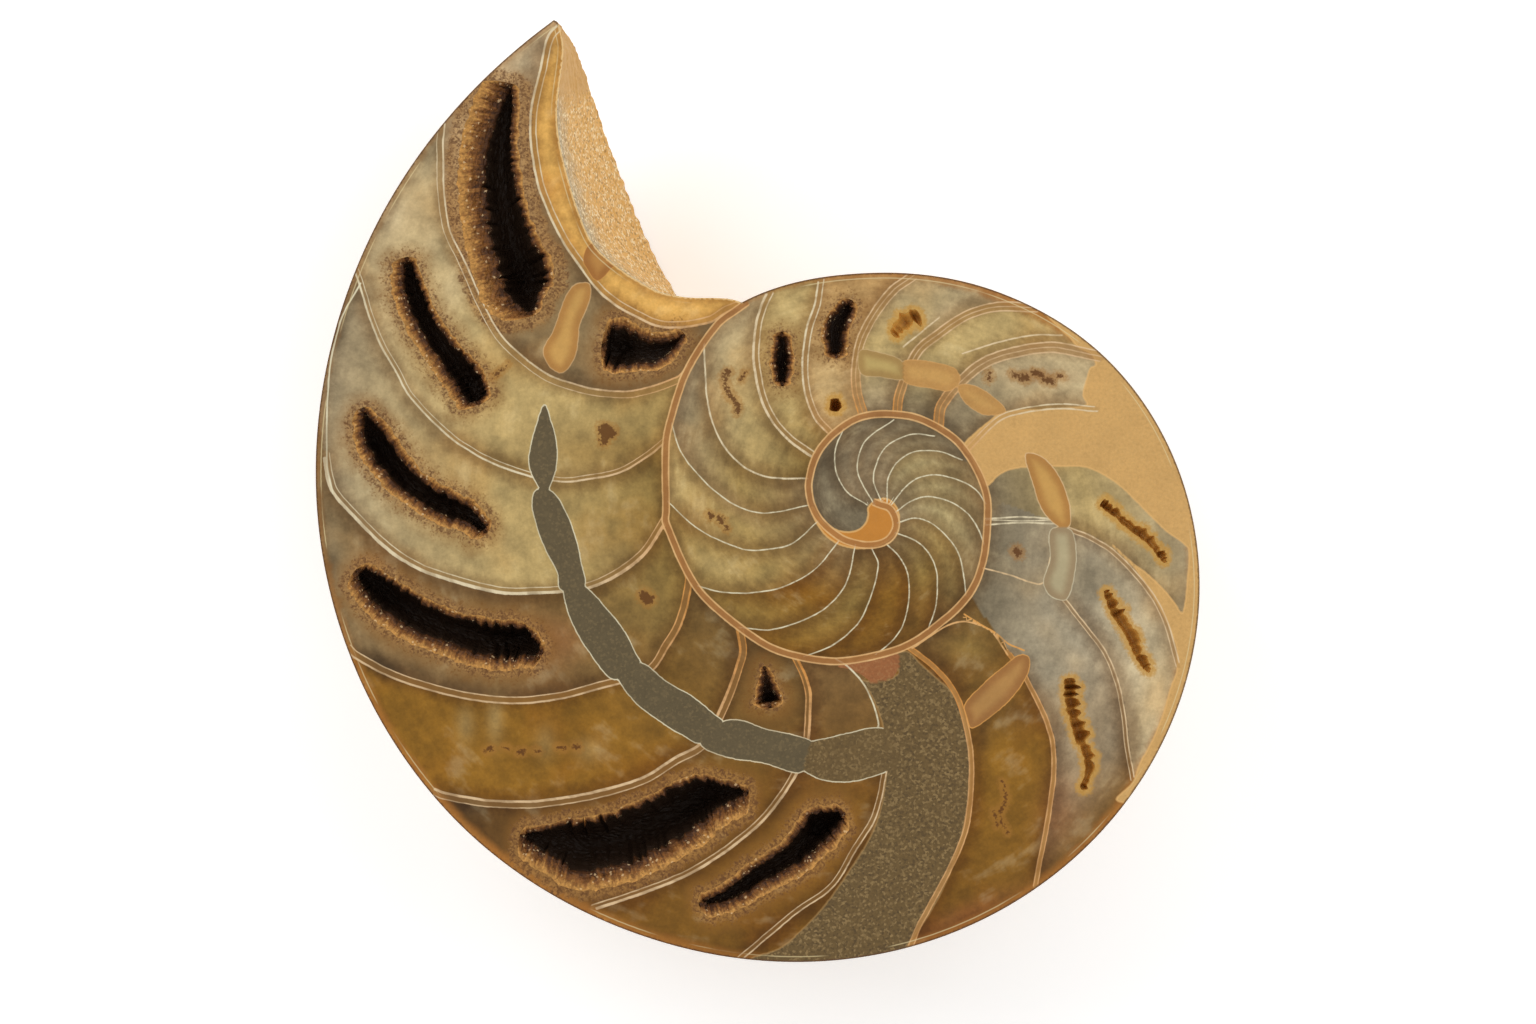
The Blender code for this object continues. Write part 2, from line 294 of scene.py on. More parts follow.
def inner_point(across, up):
    """The older whorl: its flank, then straight up from the keel, and back along the axis."""
    turn = INNER_TURNS[0] + (INNER_TURNS[1] - INNER_TURNS[0]) * across
    row = np.rint(up * INNER_ROWS)
    share = np.sin(math.pi / 2 * np.clip((row - 1) / (INNER_ROWS - 4), 0, 1))
    depth = flank_depth(share, turn)
    depth = np.where((row < 1) | (row > INNER_ROWS - 3), -SEAM_CLEARANCE, depth)
    share = np.where((row < 1) | (row > INNER_ROWS - 2), 0, share)
    radius = np.maximum(share * whorl_radius(turn) + np.where(turn >= 0, INNER_SWELL, 0), 0.3)
    return in_space(on_coil(turn, radius), depth)


older_whorl = sheet("older whorl", INNER_COLUMNS, INNER_ROWS, inner_point)
close_up(older_whorl)
take_away(opening, older_whorl)
take_away(shell_back, opening)
print("back:", len(shell_back.data.polygons), "faces after the bowl")

# %% [markdown]
# ## The caves
#
# Where a room filled only in part, a cave stays open, and the saw has opened it. Each one is given by
# points along its dark hole with the half width there, by its depth, and by how far its wall slopes in
# from either side. A sloping wall shows as a broad brown fringe of crystals beside the dark hole.

# %% The plan of each cave
# name: points (x, y, half width of the dark hole), depth, slope on the left and the right, lined
CAVES = {
    "chamber_1_outer": (((-41.1, 47.8, 0.3), (-41.6, 45.8, 0.8), (-42, 43.7, 1.1), (-42.3, 41.7, 1.4),
        (-42.4, 39.6, 1.6), (-42.3, 37.5, 1.8), (-42, 35.4, 1.9), (-41.6, 33.3, 2), (-41.1, 31.3, 2.2),
        (-40.4, 29.3, 2.4), (-39.6, 27.4, 2.6), (-39.5, 25.4, 2.1), (-38.9, 23.4, 0.6)),
        9, 0.3, 2.4, True),
    "chamber_1_inner": (((-30.2, 19.4, 2.1), (-28.7, 19.2, 2.2), (-26.7, 18.8, 1.5), (-25, 18.7, 1.25),
        (-23.3, 19.5, 0.7), (-22.3, 20.2, 0.2)), 6, 0.6, 0.3, True),
    "chamber_2": (((-52.5, 28.5, 0.6), (-52.2, 26.3, 1), (-51.5, 24.3, 1.1), (-50.7, 22.3, 1.1),
        (-49.6, 20.5, 1.1), (-48.3, 18.8, 1.2), (-47, 17.1, 1.4), (-45.7, 15.4, 1.5), (-44.8, 13.5, 1.2)),
        7, 0, 0.7, True),
    "chamber_3": (((-57.3, 11.8, 0.3), (-56.6, 9.8, 1.1), (-55.6, 8, 1.4), (-54.4, 6.3, 1.3),
        (-53, 4.7, 1.3), (-51.4, 3.4, 1.1), (-49.6, 2.2, 1.2), (-47.7, 1.3, 1.2), (-45.8, 0.5, 0.9),
        (-44.2, -0.9, 0.6)), 7, 0.3, 0.5, True),
    "chamber_4": (((-57.7, -6, 0.9), (-56.1, -7.4, 1.4), (-54.4, -8.8, 1.6), (-52.5, -10, 1.7),
        (-50.6, -11.1, 1.6), (-48.6, -11.9, 1.6), (-46.6, -12.6, 1.7), (-44.5, -13.2, 1.8),
        (-42.3, -13.5, 1.9), (-40.1, -13.7, 1.8), (-38.1, -14.5, 0.8)), 8, 0.1, 0.9, True),
    "chamber_6_outer": (((-39.3, -35.2, 0.6), (-37.2, -35.7, 1.4), (-35.1, -36, 2.3),
        (-33.1, -36.4, 2.8), (-31, -36.1, 2.8), (-28.9, -35.6, 2.8), (-27, -34.8, 2.8),
        (-25, -33.9, 2.7), (-23.1, -32.9, 2.6), (-21.4, -31.8, 2.5), (-19.5, -30.9, 2.2),
        (-17.4, -30.6, 1.3), (-15.3, -30.3, 0.5)), 9, 0.1, 1.5, True),
    "chamber_6_inner": (((-12.75, -17, 0.2), (-12.5, -18.6, 0.75), (-12.3, -20.2, 1.25)), 4, 0, 0, True),
    "chamber_7": (((-19.4, -42.6, 0.4), (-17.2, -41.9, 0.7), (-15.3, -40.8, 0.9), (-13.4, -39.5, 1),
        (-11.5, -38.4, 1.1), (-9.6, -37.2, 1.3), (-8, -35.6, 1.5), (-6.4, -34, 1.7), (-4.5, -32.9, 0.7)),
        7, 0.3, 0.7, True),
    "chamber_16_outer": (((-3.5, 23.8, 0.7), (-4.9, 21.4, 1.05), (-4.9, 18.7, 0.8)), 4, 0, 0, True),
    "chamber_17": (((-10.9, 20.2, 0.5), (-10.9, 17.9, 0.85), (-10.9, 15.6, 0.6)), 4, 0, 0, True),
    "chamber_16_inner": (((-4.9, 13.3, 0.7), (-4.9, 12.3, 0.8)), 2.5, 0, 0, False),
    "chamber_15": (((4.2, 22.8, 0.8), (2.8, 21.9, 1.1), (1.6, 20.7, 0.6)), 1.8, 0, 0, False),
    "chamber_12": (((24.8, 1.8, 0.4), (26.8, 0.3, 0.5), (28.5, -1.1, 0.5), (30.2, -2.5, 0.5),
        (31.7, -4.5, 0.35)), 2, 0, 0, False),
    "chamber_11": (((25.2, -8, 0.35), (26.1, -9.9, 0.6), (27.1, -11.5, 0.6), (28.1, -13.2, 0.6),
        (28.8, -14.9, 0.55), (29.9, -16.7, 0.35)), 2.2, 0, 0, False),
    "chamber_10": (((21.2, -17.8, 0.7), (21.3, -20, 0.75), (21.7, -22, 0.7), (22.3, -23.9, 0.7),
        (23, -25.7, 0.6), (23.3, -27.6, 0.5), (22.6, -29.8, 0.35)), 2.5, 0, 0, False),
}
CRUST = 0.5
CAP = 0.25
STEP = 0.25
LOOK_AHEAD = 0.3
# How crumbly the edge of a lined cave is, and that of an open one on its left and right.
CRUMBLY_LINED, CRUMBLY_OPEN = 0.2, (0.9, 0.3)
CRUMB_SIZE, CRUMB_LIMITS = 0.45, (0.3, 2)
WAVE_SIZE, WAVE_HEIGHT = 0.9, 0.22
LEAST_FRINGE = 0.08
CAVE_SHAPE = 0.6


def cave_axis(name):
    """Stations along a cave: place, side direction, half width, and how its ends narrow hole and mouth."""
    points, depth, slope_left, slope_right, lined = CAVES[name]
    points = np.array(points)
    marks = np.r_[0, np.cumsum(np.hypot(*np.diff(points[:, :2], axis=0).T))]
    overrun = CAP + (CRUST if lined else 0)
    steps = max(int(round((marks[-1] + 2 * overrun) / STEP)), 10)
    # Closer together towards the round ends.
    mark = marks[-1] / 2 - (marks[-1] / 2 + overrun) * np.cos(np.linspace(0, math.pi, steps + 1))
    inside = np.clip(mark, 0, marks[-1])
    place = np.stack([smooth(marks, points[:, k], inside) for k in (0, 1)], axis=1)
    near = np.clip(inside - LOOK_AHEAD, 0, None)
    far = np.clip(inside + LOOK_AHEAD, None, marks[-1])
    ahead = np.stack([smooth(marks, points[:, k], far) - smooth(marks, points[:, k], near)
                      for k in (0, 1)], axis=1)
    ahead /= np.linalg.norm(ahead, axis=1)[:, None]
    place += ahead * (mark - inside)[:, None]
    side = np.stack([-ahead[:, 1], ahead[:, 0]], axis=1)
    past = np.abs(mark - inside)
    hole, mouth = (np.sqrt(np.clip(1 - (past / reach) ** 2, 0, 1)) for reach in (CAP, overrun))
    return place, side, smooth(marks, points[:, 2], inside), hole, mouth


def ragged(plan, size, seed):
    """Small ups and downs from -1 to 1 along a cave's edge."""
    x, y = plan[..., 0] / size + seed, plan[..., 1] / size - seed
    return (np.sin(2.1 * x + 1.3 * np.sin(1.7 * y)) + np.sin(3.3 * y + 1.9 * np.sin(2.9 * x))
            + np.sin(5.7 * x - 4.1 * y)) / 3


def cave_mouth(name, number):
    """Half widths of the hole and of the mouth around it, each on the left and on the right."""
    place, side, half, hole, mouth = cave_axis(name)
    _, _, slope_left, slope_right, lined = CAVES[name]
    crust = CRUST if lined else 0
    widths = []
    for sign, slope in ((1, slope_left), (-1, slope_right)):
        crumbly = CRUMBLY_LINED if lined else CRUMBLY_OPEN[sign < 0]
        crumbs = crumbly * ragged(place + side * sign, CRUMB_SIZE, number + sign)
        dark = half * hole * np.clip(1 + crumbs, *CRUMB_LIMITS)
        waves = WAVE_HEIGHT * ragged(place + sign * side * 9, WAVE_SIZE, number)
        full = (half + crust + slope) * mouth + waves * mouth
        widths.append((dark, np.maximum(full, dark + LEAST_FRINGE * mouth) if lined else dark))
    (dark_left, left), (dark_right, right) = widths
    return place, side, dark_left, dark_right, left, right


print(len(CAVES), "caves, of which", sum(cave[4] for cave in CAVES.values()), "are lined")

# %% Pits in the back piece, under the mouths
PIT_ROWS = 14


def pit(name, number):
    """The cutter of one cave: half ovals hung from the face, closed at the top above it."""
    place, side, _, _, left, right = cave_mouth(name, number)
    depth = CAVES[name][1]
    widest = (left + right).max()

    def pit_point(across, up):
        k = np.rint(across * (len(place) - 1)).astype(int)
        row = np.rint(up * PIT_ROWS)
        angle = math.pi * np.clip((row - 1) / (PIT_ROWS - 3), 0, 1)
        reach = np.where(angle < math.pi / 2, left[k], right[k]) * np.cos(angle)
        low_point = depth * ((left[k] + right[k]) / widest) ** CAVE_SHAPE * np.sin(angle)
        low_point = np.where((row < 1) | (row > PIT_ROWS - 2), -HEADROOM, low_point)
        reach = np.where(row < 1, left[k], np.where(row > PIT_ROWS - 2, -right[k], reach))
        reach = np.where(row == PIT_ROWS, left[k], reach)
        return in_space(place[k] + side[k] * reach[:, None], low_point)

    cutter = sheet("pit " + name, len(place) - 1, PIT_ROWS, pit_point)
    close_up(cutter)
    return cutter


for number, name in enumerate(CAVES):
    take_away(shell_back, pit(name, number))
print("back:", len(shell_back.data.polygons), "faces with its pits")

# %% [markdown]
# ## The polished face
#
# The face is flat, so everything on it is colour: the walls between the rooms, the wall of the coil,
# the beads of the tube. They are drawn as lines on the plan, measured in mm from the coil's axis.

# %% The stones that fill the rooms
def ink(red, green, blue):
    """A colour given in the steps of 0 to 255 that a colour picker shows."""
    channels = [c / 255 for c in (red, green, blue)]
    return (*[c / 12.92 if c < 0.04045 else ((c + 0.055) / 1.055) ** 2.4 for c in channels], 1)


STONES = {
    "chalk": ink(204, 182, 140), "pale": ink(190, 168, 126), "khaki": ink(188, 162, 106),
    "moss": ink(178, 160, 112), "straw": ink(168, 140, 82), "olive": ink(148, 120, 62),
    "gold": ink(142, 100, 32), "amber": ink(122, 84, 28), "bark": ink(112, 86, 46),
    "umber": ink(124, 94, 54), "taupe": ink(144, 120, 82), "slate": ink(124, 111, 86),
    "ash": ink(160, 142, 110), "mist": ink(176, 162, 134), "rose": ink(206, 182, 142),
    "tan": ink(192, 160, 108), "dusk": ink(98, 68, 32), "coal": ink(76, 60, 40),
    "honey": ink(218, 168, 88), "ochre": ink(206, 162, 98), "orange": ink(196, 130, 54),
    "clay": ink(152, 96, 56), "sandstone": ink(104, 82, 46), "graphite": ink(96, 83, 58),
    "gilt": ink(200, 154, 90), "caramel": ink(184, 132, 74), "cedar": ink(178, 132, 80),
}
# The stone of each room at its rim, in its middle and beside the coil, from the youngest room inwards.
ROOM_STONES = (
    "honey honey honey", "rose taupe taupe", "pale khaki straw", "ash khaki olive", "taupe umber olive",
    "gold gold bark", "dusk amber bark", "amber amber umber", "amber amber amber", "amber gold bark",
    "amber mist slate", "chalk mist slate", "ash khaki slate", "pale pale slate", "khaki khaki slate",
    "pale khaki ash", "tan tan tan", "khaki khaki straw", "pale khaki olive", "ash straw taupe",
    "khaki straw taupe", "straw straw taupe", "olive gold taupe", "gold olive umber", "amber gold umber",
    "amber olive taupe", "bark straw taupe", "taupe moss ash", "taupe moss ash", "taupe moss ash",
    "slate ash ash", "slate ash slate", "slate ash slate", "slate slate slate",
)
print(len(STONES), "stones,", len(ROOM_STONES), "rooms")

# %% The walls between the rooms, from the rim inwards
# name: (how far its second line lies to the left, the widths of both, the gap, the gold, the points)
ROOM_WALLS = {
    "S1": (0.65, 0.24, 0.12, 0.3, 0.15, ((-35.4, 55.4), (-36.9, 53.7), (-37.8, 50), (-38.6, 46.7),
        (-38.9, 43.7), (-38.7, 40.8), (-37.8, 36.7), (-36.3, 33), (-34.4, 29.7), (-30.8, 25),
        (-25.9, 22), (-23.3, 21.4), (-18.9, 22), (-17, 23.1), (-15.2, 23.9))),
    "S2": (-0.7, 0.18, 0.09, 0.25, 0.2, ((-48.4, 43.8), (-48.6, 41.1), (-48, 33), (-45.9, 28.2),
        (-44.1, 24.1), (-41.9, 20.3), (-39.2, 17.8), (-36.7, 16.1), (-33.7, 15), (-30.8, 14.4),
        (-27.4, 14.4), (-22.6, 15.9), (-21.2, 17.3))),
    "S3": (0.45, 0.2, 0.09, 0.25, 0.1, ((-58.2, 27.2), (-57, 23.3), (-55.6, 19.7), (-53.7, 16.3),
        (-51.9, 13.3), (-47.4, 8.9), (-41.9, 5.8), (-35.6, 4.3), (-31.4, 4.7), (-28.6, 5.4), (-25.9, 7),
        (-24, 8.6))),
    "S4": (0.6, 0.34, 0.1, 0.3, 0.15, ((-61.7, 6.7), (-61.4, 4.7), (-60.8, 3), (-57.8, -0.3),
        (-54.1, -3.7), (-50.3, -5.8), (-42.6, -8), (-38.1, -8.1), (-32.6, -7.6), (-29.2, -6.1),
        (-26.3, -3.9), (-23.9, -0.3))),
    "S5": (-0.7, 0.12, 0.2, 0.35, 0.45, ((-58.7, -14.1), (-58.1, -14.7), (-54.4, -16.7), (-50.3, -18.1),
        (-45.9, -19.2), (-40.3, -19.7), (-35.6, -19.2), (-31.1, -18), (-25.9, -16.3), (-24.1, -13.7),
        (-22.6, -11.1), (-21.6, -6.7), (-21.9, -5.6), (-23, -2), (-23.8, -0.3))),
    "S6": (-0.7, 0.28, 0.12, 0.35, 0.45, ((-49.3, -30), (-48.6, -30.3), (-44.1, -31.1), (-39.7, -31.3),
        (-35.2, -30.9), (-30.8, -30), (-26.3, -28.6), (-22.6, -26.3), (-20, -24.8), (-17.6, -20.7),
        (-15.6, -14.8), (-15.9, -12.2))),
    "S7": (0.5, 0.28, 0.12, 0.3, 0.45, ((-31.3, -43.1), (-25.6, -41.2), (-20, -38.7), (-14.4, -34.7),
        (-11.3, -31.4), (-8.4, -26.1), (-7.7, -20), (-8.1, -17.8), (-9.1, -15.6))),
    "S8": (0.5, 0.15, 0.1, 0.25, 0.4, ((-15.3, -48.9), (-9.7, -44.1), (-5.2, -40.8), (-2.6, -36.7),
        (-0.3, -32.6), (0.8, -27.8))),
    "R2": (0.5, 0.12, 0.12, 0.7, 0.8, ((3.7, -47.3), (4.8, -44.8), (8.1, -38.6), (9.7, -34.8),
        (10.3, -30.8), (10.4, -27), (9.9, -23), (8.6, -19.2), (6.3, -16.3), (3.4, -14))),
    "R3": (0.45, 0.12, 0.14, 0.7, 0.8, ((17.6, -40.2), (19.1, -31.9), (19.6, -27.4), (19.2, -23.7),
        (16.4, -17.4), (14.7, -15))),
    "R4": (0.4, 0.14, 0.1, 0.3, 0.4, ((28.2, -28.3), (27.7, -25.2), (27.2, -21.1), (26.3, -17.4),
        (24.8, -14.1), (20.7, -8.9))),
    "R5": (0.45, 0.15, 0.12, 0.45, 0.4, ((33.2, -15.6), (32.2, -11.9), (30.8, -8.9), (28.6, -5.9),
        (25.9, -3.3), (23.3, -1.7), (21.2, -0.9))),
    "T6": (0.5, 0.14, 0.18, 0.3, 0.2, ((23.6, 12.6), (19.7, 12.9), (15.9, 12.4), (13.3, 11.6),
        (9.7, 8.2))),
    "T5": (1.1, 0.15, 0.15, 0.5, 0.5, ((23.8, 18.9), (19.4, 19.7), (15.9, 19.4), (12.2, 18.4),
        (9.8, 16.9), (6.4, 13.1), (5.9, 10.4))),
    "T4": (0.95, 0.15, 0.15, 0.5, 0.5, ((16.7, 24.1), (13, 24.2), (9.7, 23.3), (6.3, 21.1), (3.7, 18.9),
        (1.7, 14.1), (1.4, 11.9))),
    "T3": (0.95, 0.15, 0.12, 0.5, 0.5, ((2.8, 27.1), (1.1, 25.9), (-1.1, 23), (-2.6, 20), (-3.1, 17),
        (-3, 14.1), (-2.3, 11.6))),
    "T2": (0.6, 0.2, 0.13, 0.4, 0.15, ((-6.9, 26.2), (-7.2, 24.1), (-8.1, 21.4), (-8.6, 17.8),
        (-8.3, 14.1), (-7.2, 11.3), (-5.7, 9.6))),
    "T1": (0.6, 0.26, 0.14, 0.5, 0.25, ((-12.7, 24.9), (-13.3, 23.6), (-13.8, 21.7), (-14, 17.8),
        (-13.4, 14.1), (-12.1, 11.1), (-10.2, 8.9), (-7.8, 7.2))),
    "T0": (0, 0.18, 0, 0, 0.15, ((-19.6, 19.4), (-19.4, 16.1), (-19, 12.4), (-17.8, 8.9), (-15.8, 6.4),
        (-13.3, 5), (-10.9, 4.6), (-8.3, 4.6))),
    "n": (0, 0.13, 0, 0, 0, ((-23.1, 10.6), (-22.1, 7.6), (-20, 4.8), (-17.8, 2.8), (-15, 1.2),
        (-12.2, 0.8), (-8.2, 1.6))),
    "m": (0, 0.13, 0, 0, 0, ((-23.8, 2.2), (-20, -1.1), (-15.3, -3.2), (-12.8, -3.3), (-9.7, -2.6),
        (-7.1, -0.3))),
    "l": (0, 0.13, 0, 0, 0, ((-20, -7.4), (-17.8, -8), (-14.4, -8.1), (-10.8, -7.4), (-7.4, -5.6),
        (-4.7, -2.4))),
    "k": (0, 0.13, 0, 0, 0, ((-15.3, -12), (-12.2, -12.2), (-8.9, -11.3), (-6, -9.7), (-3.8, -7.1),
        (-2.7, -2.7))),
    "j": (0, 0.13, 0, 0, 0, ((-8.2, -15.1), (-5.6, -14.1), (-3.3, -12.4), (-1.6, -10.1), (-0.2, -5.1),
        (-0.9, -3.1))),
    "i": (0, 0.13, 0, 0, 0, ((-0.7, -15.1), (1.2, -13.6), (2.6, -11.6), (3.2, -8.9), (3.1, -6),
        (2.2, -4.1), (0.8, -2.7))),
    "h": (0, 0.13, 0, 0, 0, ((5.3, -12.4), (6.2, -9.6), (6.4, -6.6), (6, -4.7), (4.9, -3), (3.4, -2),
        (1.6, -1.4))),
    "g": (0, 0.13, 0, 0, 0, ((9.6, -8.6), (9.4, -6.7), (8.7, -3.7), (7.4, -1.8), (5.6, -0.3),
        (3.8, 0.2), (2, -0.3))),
    "f": (0, 0.13, 0, 0, 0, ((11.6, -2.8), (11, -1.1), (9.8, 0.7), (7.7, 2.1), (5.3, 2.6), (3.4, 2.1),
        (1.9, 1))),
    "e": (0, 0.13, 0, 0, 0, ((11.6, 2), (10.7, 3.3), (8.9, 4.4), (6.6, 5), (4.3, 4.7), (2.7, 3.6),
        (1.4, 1.9))),
    "d": (0, 0.13, 0, 0, 0, ((8.9, 6.8), (6.7, 7.6), (3.8, 7.6), (1.9, 6.4), (0.9, 4.6), (0.8, 2.2))),
    "c": (0, 0.13, 0, 0, 0, ((5.8, 9.4), (3.9, 9.6), (2.2, 9.1), (0.6, 8), (-0.4, 6.3), (-0.7, 4.3),
        (0.1, 2.2))),
    "b": (0, 0.13, 0, 0, 0, ((1.3, 11), (-1.6, 8.8), (-2.4, 6.9), (-2.4, 5), (-0.7, 1.9))),
    "a": (0, 0.13, 0, 0, 0, ((-4.1, 9.9), (-4.9, 8.1), (-5.1, 6.6), (-4.7, 4.8), (-3.6, 3.1),
        (-1.6, 1.8))),
}
# name: (the gold, the points), for short single lines that start or end at another wall
SHORT_WALLS = {
    "S8b": (0, ((-7.4, -25), (-5.2, -24.2), (-0.3, -23.1), (-0.2, -22.4), (-0.8, -20.3), (-1.9, -18.1),
        (-3.7, -16.2), (-4.7, -15.6))),
    "R2b": (0.8, ((3.8, -14.1), (7.8, -11.6), (9.7, -11.3), (12.2, -12.3), (14.1, -14.8))),
    "R4b": (0.5, ((11.7, -5.4), (14.1, -6), (17.6, -7.1), (18.4, -6.7), (18.9, -4.4))),
    "R5b": (0.1, ((11.9, 0.2), (16, 0.3), (19.4, 0.1))),
    "R5c": (0.1, ((12, -0.5), (16, -0.3), (19.4, -0.4))),
    "R4c": (1, ((9.6, -10.6), (11.2, -11.6), (13, -12.7), (14.2, -13.7), (15.8, -14.4))),
    "S4b": (0, ((-57.9, 26.1), (-59.9, 22.4), (-61.2, 16.7), (-61.5, 9.9), (-61.4, 5.9), (-60.9, 3.2))),
    "T5b": (0.3, ((9.4, 18.6), (13.3, 19.8), (17.2, 20.6), (20, 20.6))),
    "T4b": (0.3, ((2.8, 19.4), (4.6, 20.9), (6.4, 22.4))),
}
# The wall between two turns of the coil, from the open end inwards.
COIL_WALL = ((-15.2, 23.9), (-18.1, 21.7), (-21.4, 16.7), (-23.3, 11.1), (-23.8, 8.1), (-23.8, 1.1),
    (-23.8, -0.3), (-20.9, -6.7), (-18.4, -9.6), (-12.7, -13.9), (-8.9, -15.2), (-5.2, -15.7),
    (-1.6, -15.3), (2.9, -14), (6.9, -11.3), (9.9, -8.3), (11.3, -5.1), (11.9, -1.1), (11.7, 3.3),
    (9.1, 8.2), (5.3, 10.9), (1.3, 11.8), (-2.2, 11.4), (-5.1, 9.6), (-7, 7.3), (-7.9, 4.3),
    (-7.7, 2.1), (-6.8, 0.2), (-5.3, -1.3), (-3.4, -2.4), (-1, -2.8), (0.9, -2.2), (1.8, -0.6),
    (1.2, 1.2), (-0.2, 1.8))
# name: (stone, how grainy, how much smaller than its points, strength and gold of its outline, the points)
BEADS = {
    "B1": ("gilt", 0.25, 0, 0.6, 0.6, ((-32.3, 26.3), (-32.2, 24.9), (-32.8, 23.1), (-33.4, 21.6),
        (-33.6, 19.7), (-34, 17.9), (-35.3, 16.4), (-36.8, 17.1), (-37.4, 18.9), (-36.3, 21.1),
        (-35.4, 23.6), (-34.7, 25.3), (-33.7, 26.3))),
    "A": ("graphite", 0.5, 0, 1, 0, ((-37.3, 12.9), (-36.6, 11.1), (-36, 8.9), (-35.9, 6.4),
        (-36.5, 4.1), (-37.3, 2.9), (-38.2, 4.1), (-39, 6), (-38.9, 7.8), (-38.2, 10.6))),
    "B": ("graphite", 0.5, 0.1, 1, 0, ((-38.3, 3.4), (-36.6, 3.4), (-34.9, 1.1), (-33.8, -1.8),
        (-33.1, -4.7), (-32.8, -7.6), (-35.6, -7.8), (-36, -5.8), (-37.4, -3.1), (-38.3, -0.6),
        (-38.8, 2))),
    "C": ("graphite", 0.5, 0.1, 1, 0, ((-35.2, -7.3), (-33, -7.1), (-30.4, -9.7), (-28.4, -12.2),
        (-27.1, -14.7), (-26.6, -16), (-29.6, -17.8), (-32, -15.3), (-33.9, -12.4), (-34.9, -9.8))),
    "D": ("graphite", 0.5, 0.1, 1, 0, ((-29.2, -17.2), (-26.6, -15.8), (-23.6, -17.9), (-20.7, -19.6),
        (-18.3, -21.6), (-17.4, -22.4), (-19.9, -24.9), (-22.2, -23.9), (-24.9, -22.2), (-27.3, -20.3))),
    "E": ("graphite", 0.5, 0, 1, 0.1, ((-19.9, -24.9), (-17.4, -22.4), (-15.3, -22.3), (-12.8, -23.2),
        (-8.9, -24.1), (-7.3, -25), (-8.7, -28), (-13.1, -27), (-17.3, -26.3))),
    "G": ("cedar", 0.15, 0, 0.9, 1, ((9.4, -20.6), (11.3, -18.4), (14, -16.1), (15.6, -15),
        (16.6, -15.3), (16.4, -17.1), (14.7, -19.7), (12.4, -21.8), (10.2, -23.1), (9.7, -22))),
    "H": ("mist", 0.1, 0, 0.6, 0, ((19, -1.1), (21.2, -1.1), (21.8, -3.3), (21.6, -6.1), (20.7, -8.8),
        (18.9, -8.4), (18.2, -6.9), (18.9, -4.4))),
    "I": ("gilt", 0.15, 0, 0.8, 0.5, ((16.2, 7.3), (17.6, 7.2), (19.3, 5.8), (20.7, 3.1), (21.2, -0.4),
        (20.2, -0.9), (18.2, 0.9), (17, 4))),
    "J": ("gilt", 0.4, 0, 0.5, 0.8, ((8.7, 14.9), (10.2, 15), (12.2, 14), (14, 12.1), (11.7, 11.7),
        (9.4, 13.1))),
    "K": ("gilt", 0.4, 0, 0.5, 0.9, ((2.6, 17.6), (5.6, 17.6), (8.4, 16.8), (8.9, 15.6), (7.8, 14.4),
        (5.6, 14.7), (2.7, 15.4))),
    "L": ("khaki", 0.2, 0, 0.4, 0.5, ((-2.2, 18.8), (0, 18.6), (2.4, 17.7), (2.7, 15.7), (0, 15.9),
        (-2.1, 16.3))),
    "F": ("sandstone", 1, 0, 1, 0, ((-8.3, -25), (-5.6, -24.2), (-3.6, -23.7), (0, -23.1), (2, -24.4),
        (2.2, -26.7), (0.8, -27.9), (-2.2, -28.9), (-5.2, -29.1), (-7.6, -28.4), (-8.9, -27.2))),
    "crossing": ("caramel", 0.1, 0, 0.5, 1, ((-33, 29.1), (-32, 30.8), (-29.2, 28.7), (-29.8, 28),
        (-31.4, 26.6), (-32.4, 27.6))),
}
